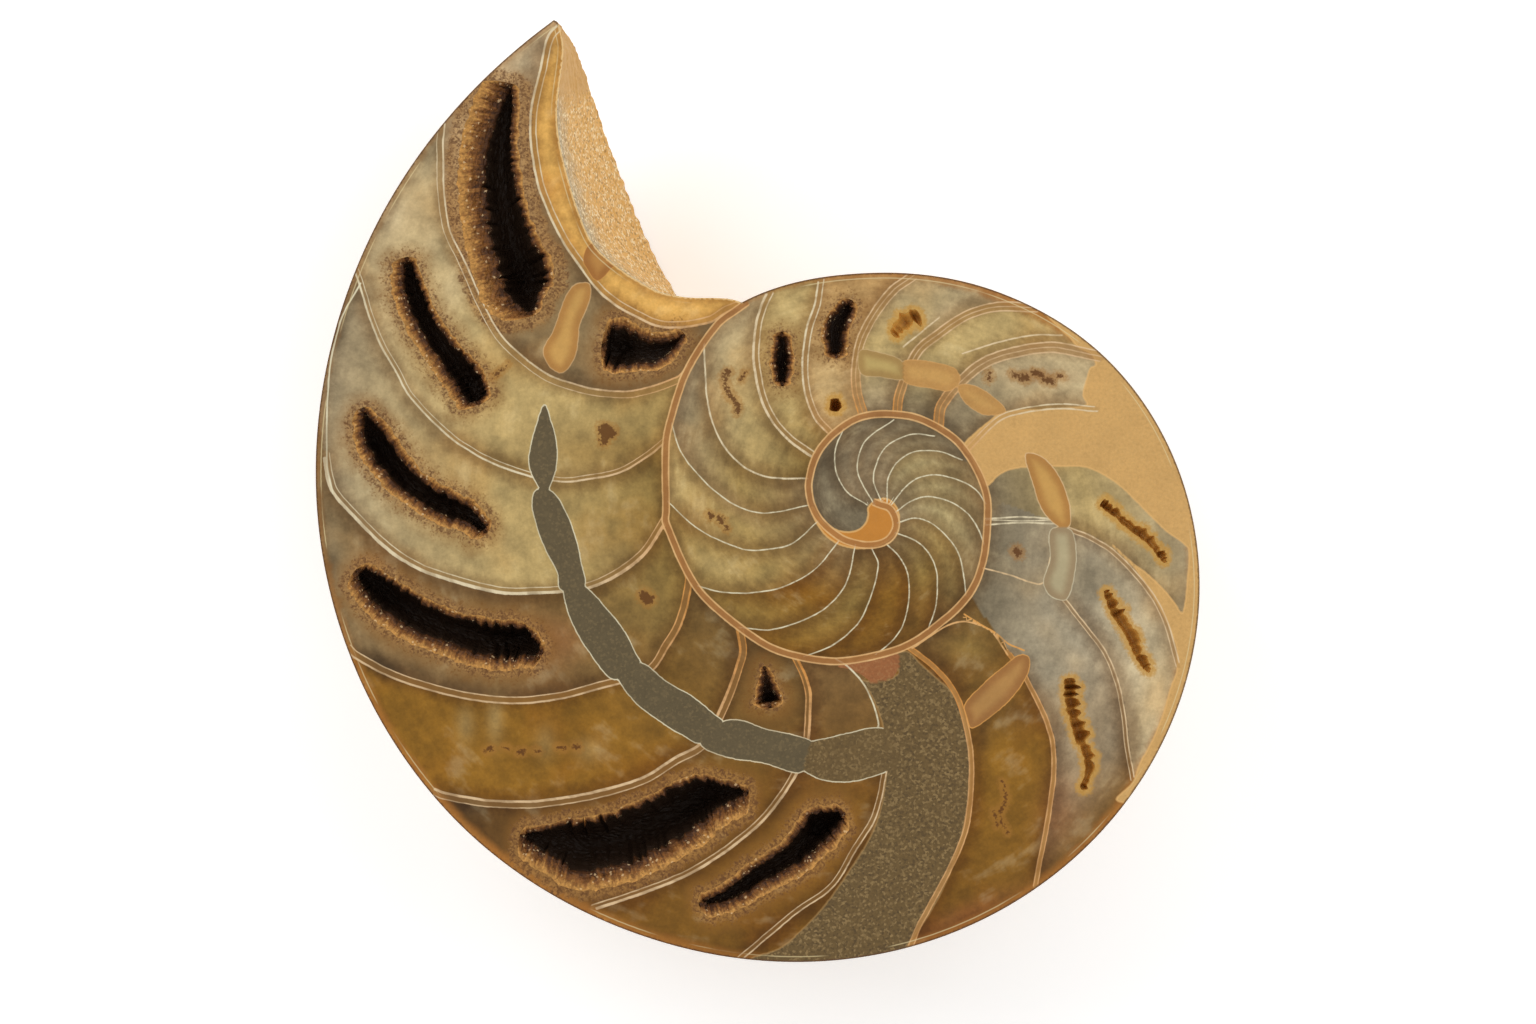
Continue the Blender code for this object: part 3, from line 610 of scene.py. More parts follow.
# The same for the fillings that lie under the beads.
GROUNDS = {
    "sandstone": ("sandstone", 1, 0, 0.25, 1, ((3, -14.6), (4.6, -16.1), (6.3, -17.6), (7.8, -18.9),
        (9.1, -21.3), (9.9, -25.2), (10, -29.7), (9.3, -34), (8.3, -37.8), (6.4, -42.2), (4, -46),
        (2.9, -47.6), (2.2, -52.2), (-15.6, -52.2), (-14.7, -49.1), (-11.1, -47.6), (-8.9, -45.8),
        (-6.1, -42.8), (-3, -38.4), (-0.8, -34.7), (0.2, -31.6), (0.7, -27.8), (0.4, -23.1),
        (-0.1, -21.4), (-1.1, -19.2), (-2, -17.9), (-0.8, -18), (1.1, -17.7), (2.1, -16.8), (1.4, -15.2))),
    "red clay": ("clay", 0.5, 0, 0, 1, ((-4.7, -16.3), (-2.7, -15.6), (0, -15.1), (2.8, -14.8),
        (1.9, -16.9), (1.1, -17.6), (-0.8, -18.1), (-1.9, -17.3), (-3.3, -16.6))),
    "fill": ("ochre", 0.4, 0, 0.7, 1, ((13.7, 12), (18.3, 12.3), (23, 12.8), (22.6, 13.9), (23, 15.6),
        (23.4, 16.9), (24, 17.2), (23.6, 18.4), (22, 19.3), (21.1, 20.3), (20, 21.3), (18.4, 22.9),
        (17.1, 24), (17.1, 25.8), (22.2, 24.4), (28.9, 17.8), (37.8, 4.4), (38.9, -11.1), (34.4, -22.2),
        (28.9, -31.1), (26.3, -31.1), (28.1, -29.2), (28.9, -27.1), (29.9, -25.3), (30.9, -23.2),
        (31.7, -21), (32.3, -18.8), (33, -16.9), (33.1, -15.6), (33, -14.2), (32.3, -12.1),
        (31.1, -9.7), (29.9, -7.6), (28.3, -5.3), (26.6, -3.6), (25.9, -2.8), (28.1, -4.8),
        (29.6, -5.9), (31.1, -7.3), (32.7, -9.1), (33.6, -10.4), (34, -8.9), (34.2, -6.7), (34.4, -4.2),
        (34.2, -3), (31.6, -1), (28.4, 2.2), (26.7, 3.8), (25, 5), (22.8, 5.9), (19.8, 6), (16.4, 5.9),
        (14.7, 5.7), (13.3, 5.1), (11.8, 3.8), (11.1, 5), (10.2, 6.9), (9.3, 8.2), (10.6, 9.7),
        (12.2, 11))),
    "heart": ("orange", 0.1, 0, 0.9, 1, ((-1.3, 1.4), (-0.4, 2.2), (0.9, 2.3), (1.9, 1.3), (2.1, -0.1),
        (1.6, -1.6), (0.3, -2.6), (-1.3, -3.1), (-3.1, -3.1), (-4.7, -2.6), (-6.1, -1.6), (-7.1, -0.2),
        (-7.7, 1.3), (-7.4, 1.4), (-6.7, 0.2), (-5.7, -0.7), (-4.1, -1.3), (-2.6, -1.2), (-1.6, -0.4),
        (-1.3, 0.6))),
}


def drawn(points, step=0.1, closed=False):
    """Closely spaced places along a smooth line through the points, with its direction at each."""
    points = np.array(points, float)
    if closed:
        points = np.vstack([points[-2:], points, points[:2]])
    marks = np.r_[0, np.cumsum(np.hypot(*np.diff(points, axis=0).T))]
    span = (marks[2], marks[-2]) if closed else (0, marks[-1])
    mark = np.linspace(*span, int((span[1] - span[0]) / step) + 2)
    line = np.stack([smooth(marks, points[:, k], mark) for k in (0, 1)], axis=1)
    ahead = np.gradient(line, axis=0)
    return line, ahead / np.linalg.norm(ahead, axis=1)[:, None]


def nearest(line, places, heights=None, line_heights=None):
    """For each place the index of the nearest point of the line. Heights keep turns of the coil apart."""
    tree = kdtree.KDTree(len(line))
    for k, point in enumerate(line):
        tree.insert((point[0], point[1], 0 if line_heights is None else line_heights[k]), k)
    tree.balance()
    heights = np.zeros(len(places)) if heights is None else heights
    return np.array([tree.find((x, y, z))[1] for (x, y), z in zip(places, heights)])


def offset(line, ahead, index, places):
    """How far each place lies to the left of the line, and its plain distance from it."""
    away = places - line[index]
    return (ahead[index, 0] * away[:, 1] - ahead[index, 1] * away[:, 0], np.hypot(*away.T))


def inside(places, loop):
    """Whether each place is inside the closed loop, by counting crossings."""
    x, y = places.T
    hit = np.zeros(len(places), bool)
    for (ax, ay), (bx, by) in zip(loop, np.roll(loop, -1, axis=0)):
        if ay != by:
            crosses = (ay > y) != (by > y)
            hit ^= crosses & (x < ax + (bx - ax) * (y - ay) / (by - ay))
    return hit


print(len(ROOM_WALLS) + len(SHORT_WALLS), "walls and", len(BEADS), "beads")

# %% The outline of the face and of the mouths in it
GRID = 0.29
OUTLINE_STEP = 0.3
EDGE_SPAN = (0.01, 48)
TIP_REACH = 5
MEAN_RADIUS = 50


def face_outline():
    """Round the keel from the notch to the tip, then back along the bowl's edge."""
    distance = np.arange(*EDGE_SPAN, OUTLINE_STEP)
    edge = bowl_plan(distance, smooth(*BOWL_EDGE, distance))
    turn = (SEAM_ANGLE - np.degrees(np.arctan2(edge[:, 1], edge[:, 0])) + 180) % 360 - 180
    outside = (np.hypot(*edge.T) > whorl_radius(turn) + 0.05) | (distance < TIP_REACH)
    last = np.argmin(outside) - 1
    edge, start, end = edge[: last + 1], turn[last], 360 + turn[0]
    steps = int(2 * math.pi * MEAN_RADIUS / OUTLINE_STEP)
    turns = np.linspace(start, end, steps, endpoint=False)[1:]
    keel = on_coil(turns, whorl_radius(turns))
    return np.vstack([keel, edge]), len(keel)


outline, keel_count = face_outline()
mouths = []
for number, name in enumerate(CAVES):
    place, side, _, _, left, right = cave_mouth(name, number)
    loop = np.vstack([place + side * left[:, None], (place - side * right[:, None])[-2:0:-1]])
    mouths.append(loop)

xs = np.arange(outline[:, 0].min(), outline[:, 0].max(), GRID)
ys = np.arange(outline[:, 1].min(), outline[:, 1].max(), GRID * math.sqrt(3) / 2)
lattice = np.array([(x + (row % 2) * GRID / 2, y) for row, y in enumerate(ys) for x in xs])
lattice = lattice[inside(lattice, outline)]
borders = np.vstack([outline] + mouths)
gap = np.hypot(*(lattice - borders[nearest(borders, lattice)]).T)
lattice = lattice[gap > 0.5 * GRID]
for loop in mouths:
    lattice = lattice[~inside(lattice, loop)]
print("face:", len(lattice), "points inside and", len(borders), "on its edges")

# %% Triangles between them
def triangles(loops, inner):
    """Triangles that fill the first loop around the other loops, and the places that they use."""
    places, edges = [Vector(p) for loop in loops for p in loop], []
    start = 0
    for loop in loops:
        edges += [(start + k, start + (k + 1) % len(loop)) for k in range(len(loop))]
        start += len(loop)
    places += [Vector(p) for p in inner]
    corners, _, faces, *_ = delaunay_2d_cdt(places, edges, [], 1, 1e-6, False)
    corners, faces = np.array([tuple(c) for c in corners]), np.array(faces)
    centres = corners[faces].mean(axis=1)
    keep = inside(centres, loops[0])
    for loop in loops[1:]:
        near = keep & (np.abs(centres - loop.mean(axis=0)).max(axis=1) < np.ptp(loop, axis=0).max())
        keep[near] &= ~inside(centres[near], loop)
    return corners, faces[keep]


loops = [outline] + mouths
top_places, top_faces = triangles(loops, lattice)
low_places, low_faces = triangles(loops, lattice[:0])
print("face:", len(top_faces), "triangles on top,", len(low_faces), "below")

# %% The face as a closed slab
under = low_places.copy()
turn_of_rim = (SEAM_ANGLE - np.degrees(np.arctan2(outline[:, 1], outline[:, 0]))) % 360
under[:keel_count] *= keel_share(turn_of_rim[:keel_count])[:, None]
points = np.vstack([in_space(top_places, 0), in_space(under, FACE_THICKNESS)])
shift = len(top_places)
faces = [tuple(f) for f in top_faces] + [tuple(f + shift)[::-1] for f in low_faces]
start = 0
for loop in loops:
    for k in range(len(loop)):
        a, b = start + k, start + (k + 1) % len(loop)
        faces.append((a, b, shift + b, shift + a))
    start += len(loop)
mesh = bpy.data.meshes.new("cut_face")
mesh.from_pydata(points.tolist(), [], faces)
cut_face = bpy.data.objects.new("cut_face", mesh)
bpy.context.scene.collection.objects.link(cut_face)
close_up(cut_face, merge=0.0001)
print("cut_face:", len(mesh.vertices), "points,", len(mesh.polygons), "faces")

# %% [markdown]
# ## What each point of the face belongs to
#
# The finish needs to know, at each point, how far it is from the nearest wall, from the coil's wall,
# from the rim, from a bead and from a cave. These distances are stored on the mesh as attributes. A
# signed distance stays even where a line passes between two points, so thin lines come out sharp.
#
# The coil passes the same angle several times. Each point gets the turn of the coil it lies on, and
# the search for its nearest wall treats turns as heights, as if the coil were pulled out like a spring.

# %% Turns of the coil
coil_wall, coil_ahead = drawn(COIL_WALL)
wall_turn = SEAM_ANGLE - np.degrees(np.unwrap(np.arctan2(coil_wall[:, 1], coil_wall[:, 0])))
wall_turn += -360 * np.round(wall_turn[0] / 360)
wall_far = np.hypot(*coil_wall.T)
HEIGHT_PER_DEGREE = 0.12


def wall_at(turn):
    """The coil wall's radius at a turn, which is below 0 inside the last whorl. Past its ends it is 0."""
    return np.interp(-turn, -wall_turn, wall_far, left=0, right=0)


def coil_turn(places):
    """The turn that each place lies on: 0 to 360 in the last whorl, less further in."""
    turn = (SEAM_ANGLE - np.degrees(np.arctan2(places[:, 1], places[:, 0]))) % 360
    far = np.hypot(*places.T)
    result = turn.copy()
    for whorl in (1, 2):
        result = np.where(far < wall_at(turn - 360 * whorl), turn - 360 * whorl, result)
    return result


def depth_of_room(places, turn):
    """How far out each place lies between the coil's wall, 0, and the rim of its own whorl, 1."""
    outer = np.where(turn >= 0, whorl_radius(turn), wall_at(turn))
    inner = wall_at(turn - 360)
    return np.clip((np.hypot(*places.T) - inner) / np.maximum(outer - inner, 1), 0, 1)


print("coil wall from turn", round(wall_turn[0]), "to", round(wall_turn[-1]))

# %% Distances to the walls
everywhere = np.array([v.co[:2] for v in mesh.vertices])
everywhere = (everywhere / SNUG - np.array(COIL_AXIS)) / MM
turns_here = coil_turn(everywhere)
out_here = depth_of_room(everywhere, turns_here)


def keep(name, values, thing=cut_face):
    """Stores one number or one colour for each point of the face, or of another piece."""
    values = np.asarray(values, np.float32)
    kind, field = ("FLOAT_COLOR", "color") if values.ndim == 2 else ("FLOAT", "value")
    thing.data.attributes.new(name, kind, "POINT").data.foreach_set(field, values.ravel())


lines, aheads, heights, owners = [], [], [], []
for number, (*_, points) in enumerate(ROOM_WALLS.values()):
    line, ahead = drawn(points)
    turn = SEAM_ANGLE - np.degrees(np.unwrap(np.arctan2(line[:, 1], line[:, 0])))
    middle = len(line) // 2
    turn += coil_turn(line[middle:middle + 1])[0] - turn[middle]
    lines.append(line)
    aheads.append(ahead)
    heights.append(turn * HEIGHT_PER_DEGREE)
    owners.append(np.full(len(line), number))
line, ahead, owner = np.vstack(lines), np.vstack(aheads), np.concatenate(owners)
index = nearest(line, everywhere, turns_here * HEIGHT_PER_DEGREE, np.concatenate(heights))
wall_side, wall_away = offset(line, ahead, index, everywhere)
own = owner[index]
room = own + (wall_side < 0)
partner, first, second, gap, gold = np.array([values[:-1] for values in ROOM_WALLS.values()]).T
near_coil = np.where(turns_here > 0, np.clip(1 - 2.4 * out_here, 0, 1), 0)
for name, values in {"wall_side": wall_side, "wall_away": wall_away, "wall_partner": partner[own],
                     "wall_first": first[own], "wall_second": second[own], "wall_gap": gap[own],
                     "wall_gold": gold[own] + 0.6 * near_coil}.items():
    keep(name, values)

index = nearest(coil_wall, everywhere)
coil_side, coil_away = offset(coil_wall, coil_ahead, index, everywhere)
keep("coil_side", coil_side)
keep("coil_away", coil_away)

short = [drawn(points) for _, points in SHORT_WALLS.values()]
line, ahead = np.vstack([s[0] for s in short]), np.vstack([s[1] for s in short])
short_gold = np.concatenate([np.full(len(s[0]), value) for s, (value, _) in zip(short, SHORT_WALLS.values())])
index = nearest(line, everywhere)
short_side, short_away = offset(line, ahead, index, everywhere)
for name, values in {"short_side": short_side, "short_away": short_away,
                     "short_gold": short_gold[index]}.items():
    keep(name, values)
print("walls:", len(lines), "long and", len(short), "short")

# %% The stone of each room
# Soft patches of another stone: (stone, x, y, half length, half width, direction in degrees, strength)
PATCHES = (
    ("slate", -37.4, 52.8, 1.6, 1.0, -60, 0.5), ("slate", -39.9, 45.6, 5.6, 0.9, -95, 0.5),
    ("slate", -39.6, 34.2, 5.3, 1.0, -75, 0.5), ("clay", -37.8, 30.9, 2.4, 1.1, -50, 0.35),
    ("slate", -48.9, 42.8, 3.6, 1.0, -110, 0.5), ("slate", -53.0, 36.7, 3.3, 1.6, -120, 0.3),
    ("rose", -54.4, 33.8, 2.4, 1.6, -120, 0.35), ("pale", -50.0, 31.1, 2.7, 1.1, -80, 0.4),
    ("slate", -59.7, 22.0, 4.7, 0.9, -112, 0.5), ("khaki", -50.0, 16.4, 4.4, 1.8, -50, 0.35),
    ("gold", -40.0, 5.6, 4.4, 1.3, -30, 0.35), ("slate", -60.8, -4.4, 4.7, 0.9, -87, 0.4),
    ("clay", -45.3, 0.0, 3.3, 1.1, -35, 0.3), ("clay", -36.0, -13.3, 3.8, 2.7, 0, 0.45),
    ("clay", -57.1, -5.6, 1.6, 2.4, -60, 0.3), ("coal", -55.3, -16.3, 3.1, 1.1, -25, 0.75),
    ("dusk", -48.9, -18.7, 6.7, 0.7, -10, 0.35), ("khaki", -46.1, -22.7, 1.0, 2.0, 0, 0.4),
    ("khaki", -42.8, -22.0, 0.9, 2.7, 0, 0.45), ("khaki", -32.2, -25.6, 1.6, 1.3, 0, 0.35),
    ("khaki", -37.2, -24.7, 1.1, 1.8, 0, 0.3), ("coal", -45.8, -31.8, 2.2, 1.1, -30, 0.6),
    ("dusk", -35.6, -40.0, 3.8, 0.9, -30, 0.5), ("gold", -17.2, -30.0, 3.3, 1.6, 30, 0.4),
    ("gold", -6.7, -37.8, 3.8, 1.6, 50, 0.4), ("dusk", 11.6, -22.2, 4.7, 0.9, -95, 0.6),
    ("clay", 9.1, -44.2, 6.7, 1.3, 25, 0.5), ("gold", 14.4, -30.0, 2.2, 6.7, 0, 0.5),
    ("olive", 9.8, -14.4, 2.2, 1.6, 0, 0.6), ("clay", 20.0, -31.7, 2.2, 4.7, -15, 0.4),
    ("rose", 22.0, -26.7, 1.6, 4.4, -10, 0.3), ("mist", 18.4, -10.2, 1.8, 5.6, 0, 0.4),
    ("mist", 19.8, -4.4, 1.1, 4.4, 0, 0.45), ("slate", 23.1, -6.1, 3.3, 3.3, 0, 0.35),
    ("mist", 25.6, -24.7, 1.6, 3.3, -10, 0.35), ("tan", 30.2, -20.0, 1.6, 5.6, -20, 0.4),
    ("clay", 17.8, 16.0, 2.9, 0.7, -3, 0.45), ("khaki", -18.3, -5.0, 3.1, 1.1, -20, 0.5),
    ("pale", -16.1, 1.7, 3.3, 1.0, -40, 0.3), ("moss", 6.1, 2.2, 2.7, 3.3, 0, 0.3),
    ("amber", 2.2, -10.2, 3.8, 1.6, 0, 0.4), ("umber", -28.9, -4.4, 3.3, 2.2, 0, 0.3),
    ("chalk", -47.2, 26.4, 1.8, 3.8, -20, 0.3), ("gold", -26.7, 7.8, 4.4, 1.6, -10, 0.3),
    ("slate", 23.1, -6.1, 3.8, 3.8, 0, 0.5), ("dusk", 14.7, -21.3, 3.8, 2.4, 0, 0.65),
    ("dusk", -15.0, -14.4, 1.8, 1.6, 0, 0.5), ("chalk", 7.2, 23.1, 2.7, 1.0, 35, 0.5),
    ("moss", 3.9, 7.2, 3.3, 2.7, 0, 0.4), ("gold", -32.8, 7.2, 6.0, 2.4, -10, 0.35),
    ("chalk", 26.7, -4.4, 1.8, 1.1, -40, 0.3),
)
stops = np.array([[STONES[name] for name in names.split()] for names in ROOM_STONES])
rim_stone, middle_stone, coil_stone = stops[room].transpose(1, 0, 2)
outwards = np.clip(2 * out_here - 1, 0, 1)[:, None]
inwards = np.clip(1 - 2 * out_here, 0, 1)[:, None]
room_stone = middle_stone + (rim_stone - middle_stone) * outwards + (coil_stone - middle_stone) * inwards
for stone, x, y, long, wide, direction, strength in PATCHES:
    away = everywhere - (x, y)
    c, s = math.cos(math.radians(direction)), math.sin(math.radians(direction))
    ahead, aside = away @ (c, s) / long, away @ (-s, c) / wide
    share = strength * np.exp(-(ahead**2 + aside**2))
    room_stone += (np.array(STONES[stone]) - room_stone) * share[:, None]
keep("stone", room_stone)
keep("out", out_here)
keep("band", room == 0)
keep("turn", turns_here)
print("stone of", len(np.unique(room)), "rooms with", len(PATCHES), "patches")

# %% Small pits and cracks
# (half width, points)
CRACKS = (
    (0.3, ((-16.9, 16.4), (-17.3, 15.8), (-16.9, 14.2), (-15.8, 12.8), (-15.9, 12.0))),
    (0.15, ((-15.0, 16.4), (-15.4, 15.6))), (0.7, ((-30.7, 10.0), (-30.1, 9.8))),
    (0.5, ((-30.6, 9.3), (-30.7, 8.9))), (0.6, ((-26.3, -8.4), (-25.8, -8.8))),
    (0.25, ((-19.0, 0.6), (-18.7, 0.3))), (0.4, ((-17.9, 0.1), (-17.6, -0.1))),
    (0.2, ((-17.2, -0.8), (-17.0, -1.0))), (0.25, ((-43.8, -25.7), (-43.1, -25.4))),
    (0.2, ((-41.9, -25.3), (-41.3, -25.4))), (0.3, ((-40.2, -25.8), (-39.6, -25.7))),
    (0.2, ((-38.3, -25.6), (-38.0, -25.7))), (0.25, ((-35.8, -25.3), (-35.1, -25.4))),
    (0.25, ((-34.0, -25.2), (-33.6, -25.3))),
    (0.15, ((13.6, -29.1), (14.0, -31.1), (13.3, -32.8), (14.2, -34.7))),
    (0.15, ((12.7, -32.4), (13.1, -34.0))), (0.4, ((15.1, -3.4), (15.4, -3.7))),
    (0.25, ((14.7, 16.3), (15.0, 16.0))), (0.4, ((15.7, 15.9), (16.2, 15.8))),
    (0.3, ((17.1, 16.4), (17.8, 16.2))), (0.3, ((18.4, 15.6), (19.1, 15.4))),
    (0.2, ((19.9, 16.0), (20.3, 15.9))), (0.3, ((12.2, 16.4), (12.1, 15.7))),
    (0.12, ((-43.1, 15.9), (-42.2, 16.6), (-41.4, 17.3))), (0.2, ((-45.8, 14.7), (-45.1, 14.4))),
)
cracks = [drawn(points)[0] for _, points in CRACKS]
widths = np.concatenate([np.full(len(line), width) for line, (width, _) in zip(cracks, CRACKS)])
line = np.vstack(cracks)
index = nearest(line, everywhere)
keep("crack_away", np.hypot(*(everywhere - line[index]).T) - widths[index])
print(len(CRACKS), "small pits and cracks")

# %% Beads, sandstone and other fillings
FAR_OUTSIDE = -9
REACH = 1.5


def how_far_inside(points, smaller):
    """How far inside a closed outline each place lies, in mm. It is negative outside."""
    line, _ = drawn(points, closed=True)
    result = np.full(len(everywhere), float(FAR_OUTSIDE))
    near = (everywhere > line.min(axis=0) - REACH) & (everywhere < line.max(axis=0) + REACH)
    near = np.flatnonzero(near.all(axis=1))
    away = np.hypot(*(everywhere[near] - line[nearest(line, everywhere[near])]).T)
    result[near] = np.where(inside(everywhere[near], line), away, -away) - smaller
    return result


for layer, table in (("bead", BEADS), ("ground", GROUNDS)):
    depths = np.array([how_far_inside(points, smaller) for _, _, smaller, _, _, points in table.values()])
    best = depths.argmax(axis=0)
    stones = np.array([STONES[values[0]] for values in table.values()])
    numbers = np.array([values[1:5] for values in table.values()])
    keep(layer + "_inside", depths.max(axis=0))
    keep(layer + "_stone", stones[best])
    keep(layer + "_grain", numbers[best, 0])
    keep(layer + "_outline", numbers[best, 2])
    keep(layer + "_gold", numbers[best, 3])
print(len(BEADS), "beads and", len(GROUNDS), "other fillings")

# %% Rim and caves
# turn: how strong and how broad, in mm, the ochre stain along the rim is
STAIN_TURNS = (0, 30, 60, 90, 130, 160, 180, 200, 220, 245, 260, 285, 300, 330, 360)
STAIN_STRENGTH = (0.3, 0.5, 0.8, 1, 1, 1, 0.7, 0.6, 0.3, 0.8, 0.9, 0.7, 0.3, 0.2, 0.2)
STAIN_BREADTH = (0.4, 0.5, 0.9, 1.0, 1.1, 1.3, 0.8, 0.7, 0.6, 1.0, 0.9, 0.8, 0.6, 0.5, 0.5)
rim_away = np.hypot(*(everywhere - outline[nearest(outline, everywhere)]).T)
keep("rim_away", rim_away)
turn = np.clip(turns_here, 0, 360)
keep("stain", np.interp(turn, STAIN_TURNS, STAIN_STRENGTH))
keep("stain_breadth", np.interp(turn, STAIN_TURNS, STAIN_BREADTH))

edge = np.vstack(mouths)
breadths = [0.4 + 0.35 * sum(CAVES[name][2:4]) if CAVES[name][4] else 0.05 for name in CAVES]
breadth = np.concatenate([np.full(len(loop), value) for loop, value in zip(mouths, breadths)])
index = nearest(edge, everywhere)
keep("cave_away", np.hypot(*(everywhere - edge[index]).T))
keep("cave_fringe", breadth[index])
keep("cave_along", np.r_[0, np.cumsum(np.hypot(*np.diff(edge, axis=0).T))][index])
print("attributes:", [a.name for a in mesh.attributes if a.domain == "POINT"])

# %% [markdown]
# ## The crystals
#
# Each cave is lined with brown crystals, small and pointed. The lining is a sheet that runs down one
# wall of the cave and up the other. A Displace modifier with a cell texture raises the points.

# %% The linings
CRYSTAL_SIZE, CRYSTAL_HEIGHT = 0.34, 0.36
LIP_DROP, LIP_SLOPE, LIP_CURVE = 0.4, 0.3, 1.4
FREE_FROM, FREE_OVER = 0.03, 0.35
LINING_GAP = 0.02
BELOW_FACE = 0.01
LINING_ROWS, SECTION_POINTS = 90, 240
LINING_RISE, LINING_THICKNESS = 0.9, 0.25
points_texture = bpy.data.textures.new("crystal points", "VORONOI")
points_texture.noise_scale = CRYSTAL_SIZE * MM
points_texture.distance_metric = "DISTANCE"


def lining_rows(dark_left, dark_right, left, right, low_point):
    """A section of a lining in even rows from left to right: reach and fall in mm, and fringe's share."""
    reach = np.linspace(left, -right, SECTION_POINTS)
    outer = np.where(reach > 0, left, right) + 1e-6
    dark = np.where(reach > 0, dark_left, dark_right) + 1e-6
    fringe = np.clip((outer - np.abs(reach)) / (outer - dark), 0, 1)
    lip = LIP_DROP + LIP_SLOPE * np.clip(outer - dark - CRUST, 0, None)
    middle = np.clip(1 - np.abs(reach) / dark, 0, 1)
    fall = lip * fringe**LIP_CURVE + np.clip(low_point - lip, 0, None) * np.sqrt(1 - (1 - middle) ** 2)
    run = np.r_[0, np.cumsum(np.hypot(np.diff(reach), np.diff(fall)))]
    even = np.linspace(0, run[-1], LINING_ROWS + 1)
    return np.interp(even, run, reach), np.interp(even, run, fall), np.interp(even, run, fringe)


def lining(name, number):
    place, side, dark_left, dark_right, left, right = cave_mouth(name, number)
    _, _, half, hole, _ = cave_axis(name)
    low_point = (CAVES[name][1] - LINING_RISE) * (half * hole / half.max()) ** CAVE_SHAPE
    sections = [lining_rows(*values) for values in zip(dark_left, dark_right, left, right, low_point)]
    reaches, falls, fringes = np.array(sections).transpose(1, 0, 2)
    along = np.r_[0, np.cumsum(np.hypot(*np.diff(place, axis=0).T))]
    kept = {}

    def lining_point(across, up):
        k, row = np.rint(across * (len(place) - 1)).astype(int), np.rint(up * LINING_ROWS).astype(int)
        kept.update(along=along[k], across=reaches[k, row], deep=falls[k, row], fringe=fringes[k, row])
        return in_space(place[k] + side[k] * reaches[k, row][:, None], falls[k, row] + LINING_GAP)

    made = sheet("crystals_" + name, len(place) - 1, LINING_ROWS, lining_point)
    for title, values in kept.items():
        keep(title, values, made)
    free = made.vertex_groups.new(name="free")
    loose = np.clip((kept["deep"] - FREE_FROM) / FREE_OVER, 0, 1)
    for vertex, value in zip(made.data.vertices, loose):
        free.add([vertex.index], float(value), "REPLACE")
    only(made)
    bpy.ops.object.mode_set(mode="EDIT")
    bpy.ops.mesh.select_all(action="SELECT")
    bpy.ops.mesh.remove_doubles(threshold=0.01 * MM)
    bpy.ops.object.mode_set(mode="OBJECT")
    modify(made, "DISPLACE", texture=points_texture, texture_coords="LOCAL",
           strength=-CRYSTAL_HEIGHT * MM, mid_level=0.3, vertex_group="free")
    modify(made, "SOLIDIFY", thickness=LINING_THICKNESS * MM, offset=1)
    for vertex in made.data.vertices:
        vertex.co.z = min(vertex.co.z, face_height - BELOW_FACE * MM)
    close_up(made, merge=0.00001)
    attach(made, "root")
    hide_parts("crystal_crust_" + name)
    return made


linings = [lining(name, number) for number, name in enumerate(CAVES) if CAVES[name][4]]
print("linings:", sum(len(piece.data.polygons) for piece in linings), "faces")

for piece, slot in ((cut_face, "polished_fossil"), (shell_back, "polished_fossil")):
    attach(piece, "root")
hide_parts("shell_half")

# %% What the back knows of itself
back = np.array([v.co for v in shell_back.data.vertices])
back_plan = (back[:, :2] / SNUG - np.array(COIL_AXIS)) / MM
back_deep = (face_height - back[:, 2]) / MM
back_turn = (SEAM_ANGLE - np.degrees(np.arctan2(back_plan[:, 1], back_plan[:, 0]))) % 360
BOWL_MARGIN, PIT_DEPTH, PIT_TO_FLANK = 0.45, 12, 0.5
from_tip = (back_plan - tip) @ along
inset = (back_plan - tip) @ inward
edge_inset, rim_inset = smooth(*BOWL_EDGE, from_tip), smooth(*BOWL_RIM, from_tip)
tip_share = np.clip(1 - from_tip / whorl_radius(360.0), 0, KEEL_SHARE)
downward = np.clip(back_deep / np.maximum(flank_depth(tip_share, 360.0), 1), 0, 1)
bowl_inset = edge_inset + (rim_inset - edge_inset) * downward**2
on_bowl = (np.abs(inset - bowl_inset) < BOWL_MARGIN) & (from_tip > -1) & (from_tip < 52) & (back_deep > 0.2)
in_pit = np.zeros(len(back), bool)
for loop in mouths:
    middle = loop.mean(axis=0)
    in_pit |= inside(middle + (back_plan - middle) * 0.98, loop)
back_share = np.hypot(*back_plan.T) / whorl_radius(back_turn)
flank_here = flank_depth(np.minimum(back_share, KEEL_SHARE), back_turn)
in_pit &= back_deep < np.minimum(PIT_DEPTH, flank_here - PIT_TO_FLANK)
for name, values in {"turn": back_turn, "deep": back_deep, "bowl": on_bowl, "pit": in_pit,
                     "bowl_across": downward, "from_tip": from_tip, "share": back_share}.items():
    keep(name, values, shell_back)
print("back:", int(on_bowl.sum()), "points on the bowl,", int(in_pit.sum()), "in pits")

# %% [markdown]
# ## Finishes
#
# Each finish is a material whose nodes are written as sums. A small class stands for one output of a
# node, so that `edge * 0.5 + grain` adds the Math nodes by itself. Colours go through Mix nodes.

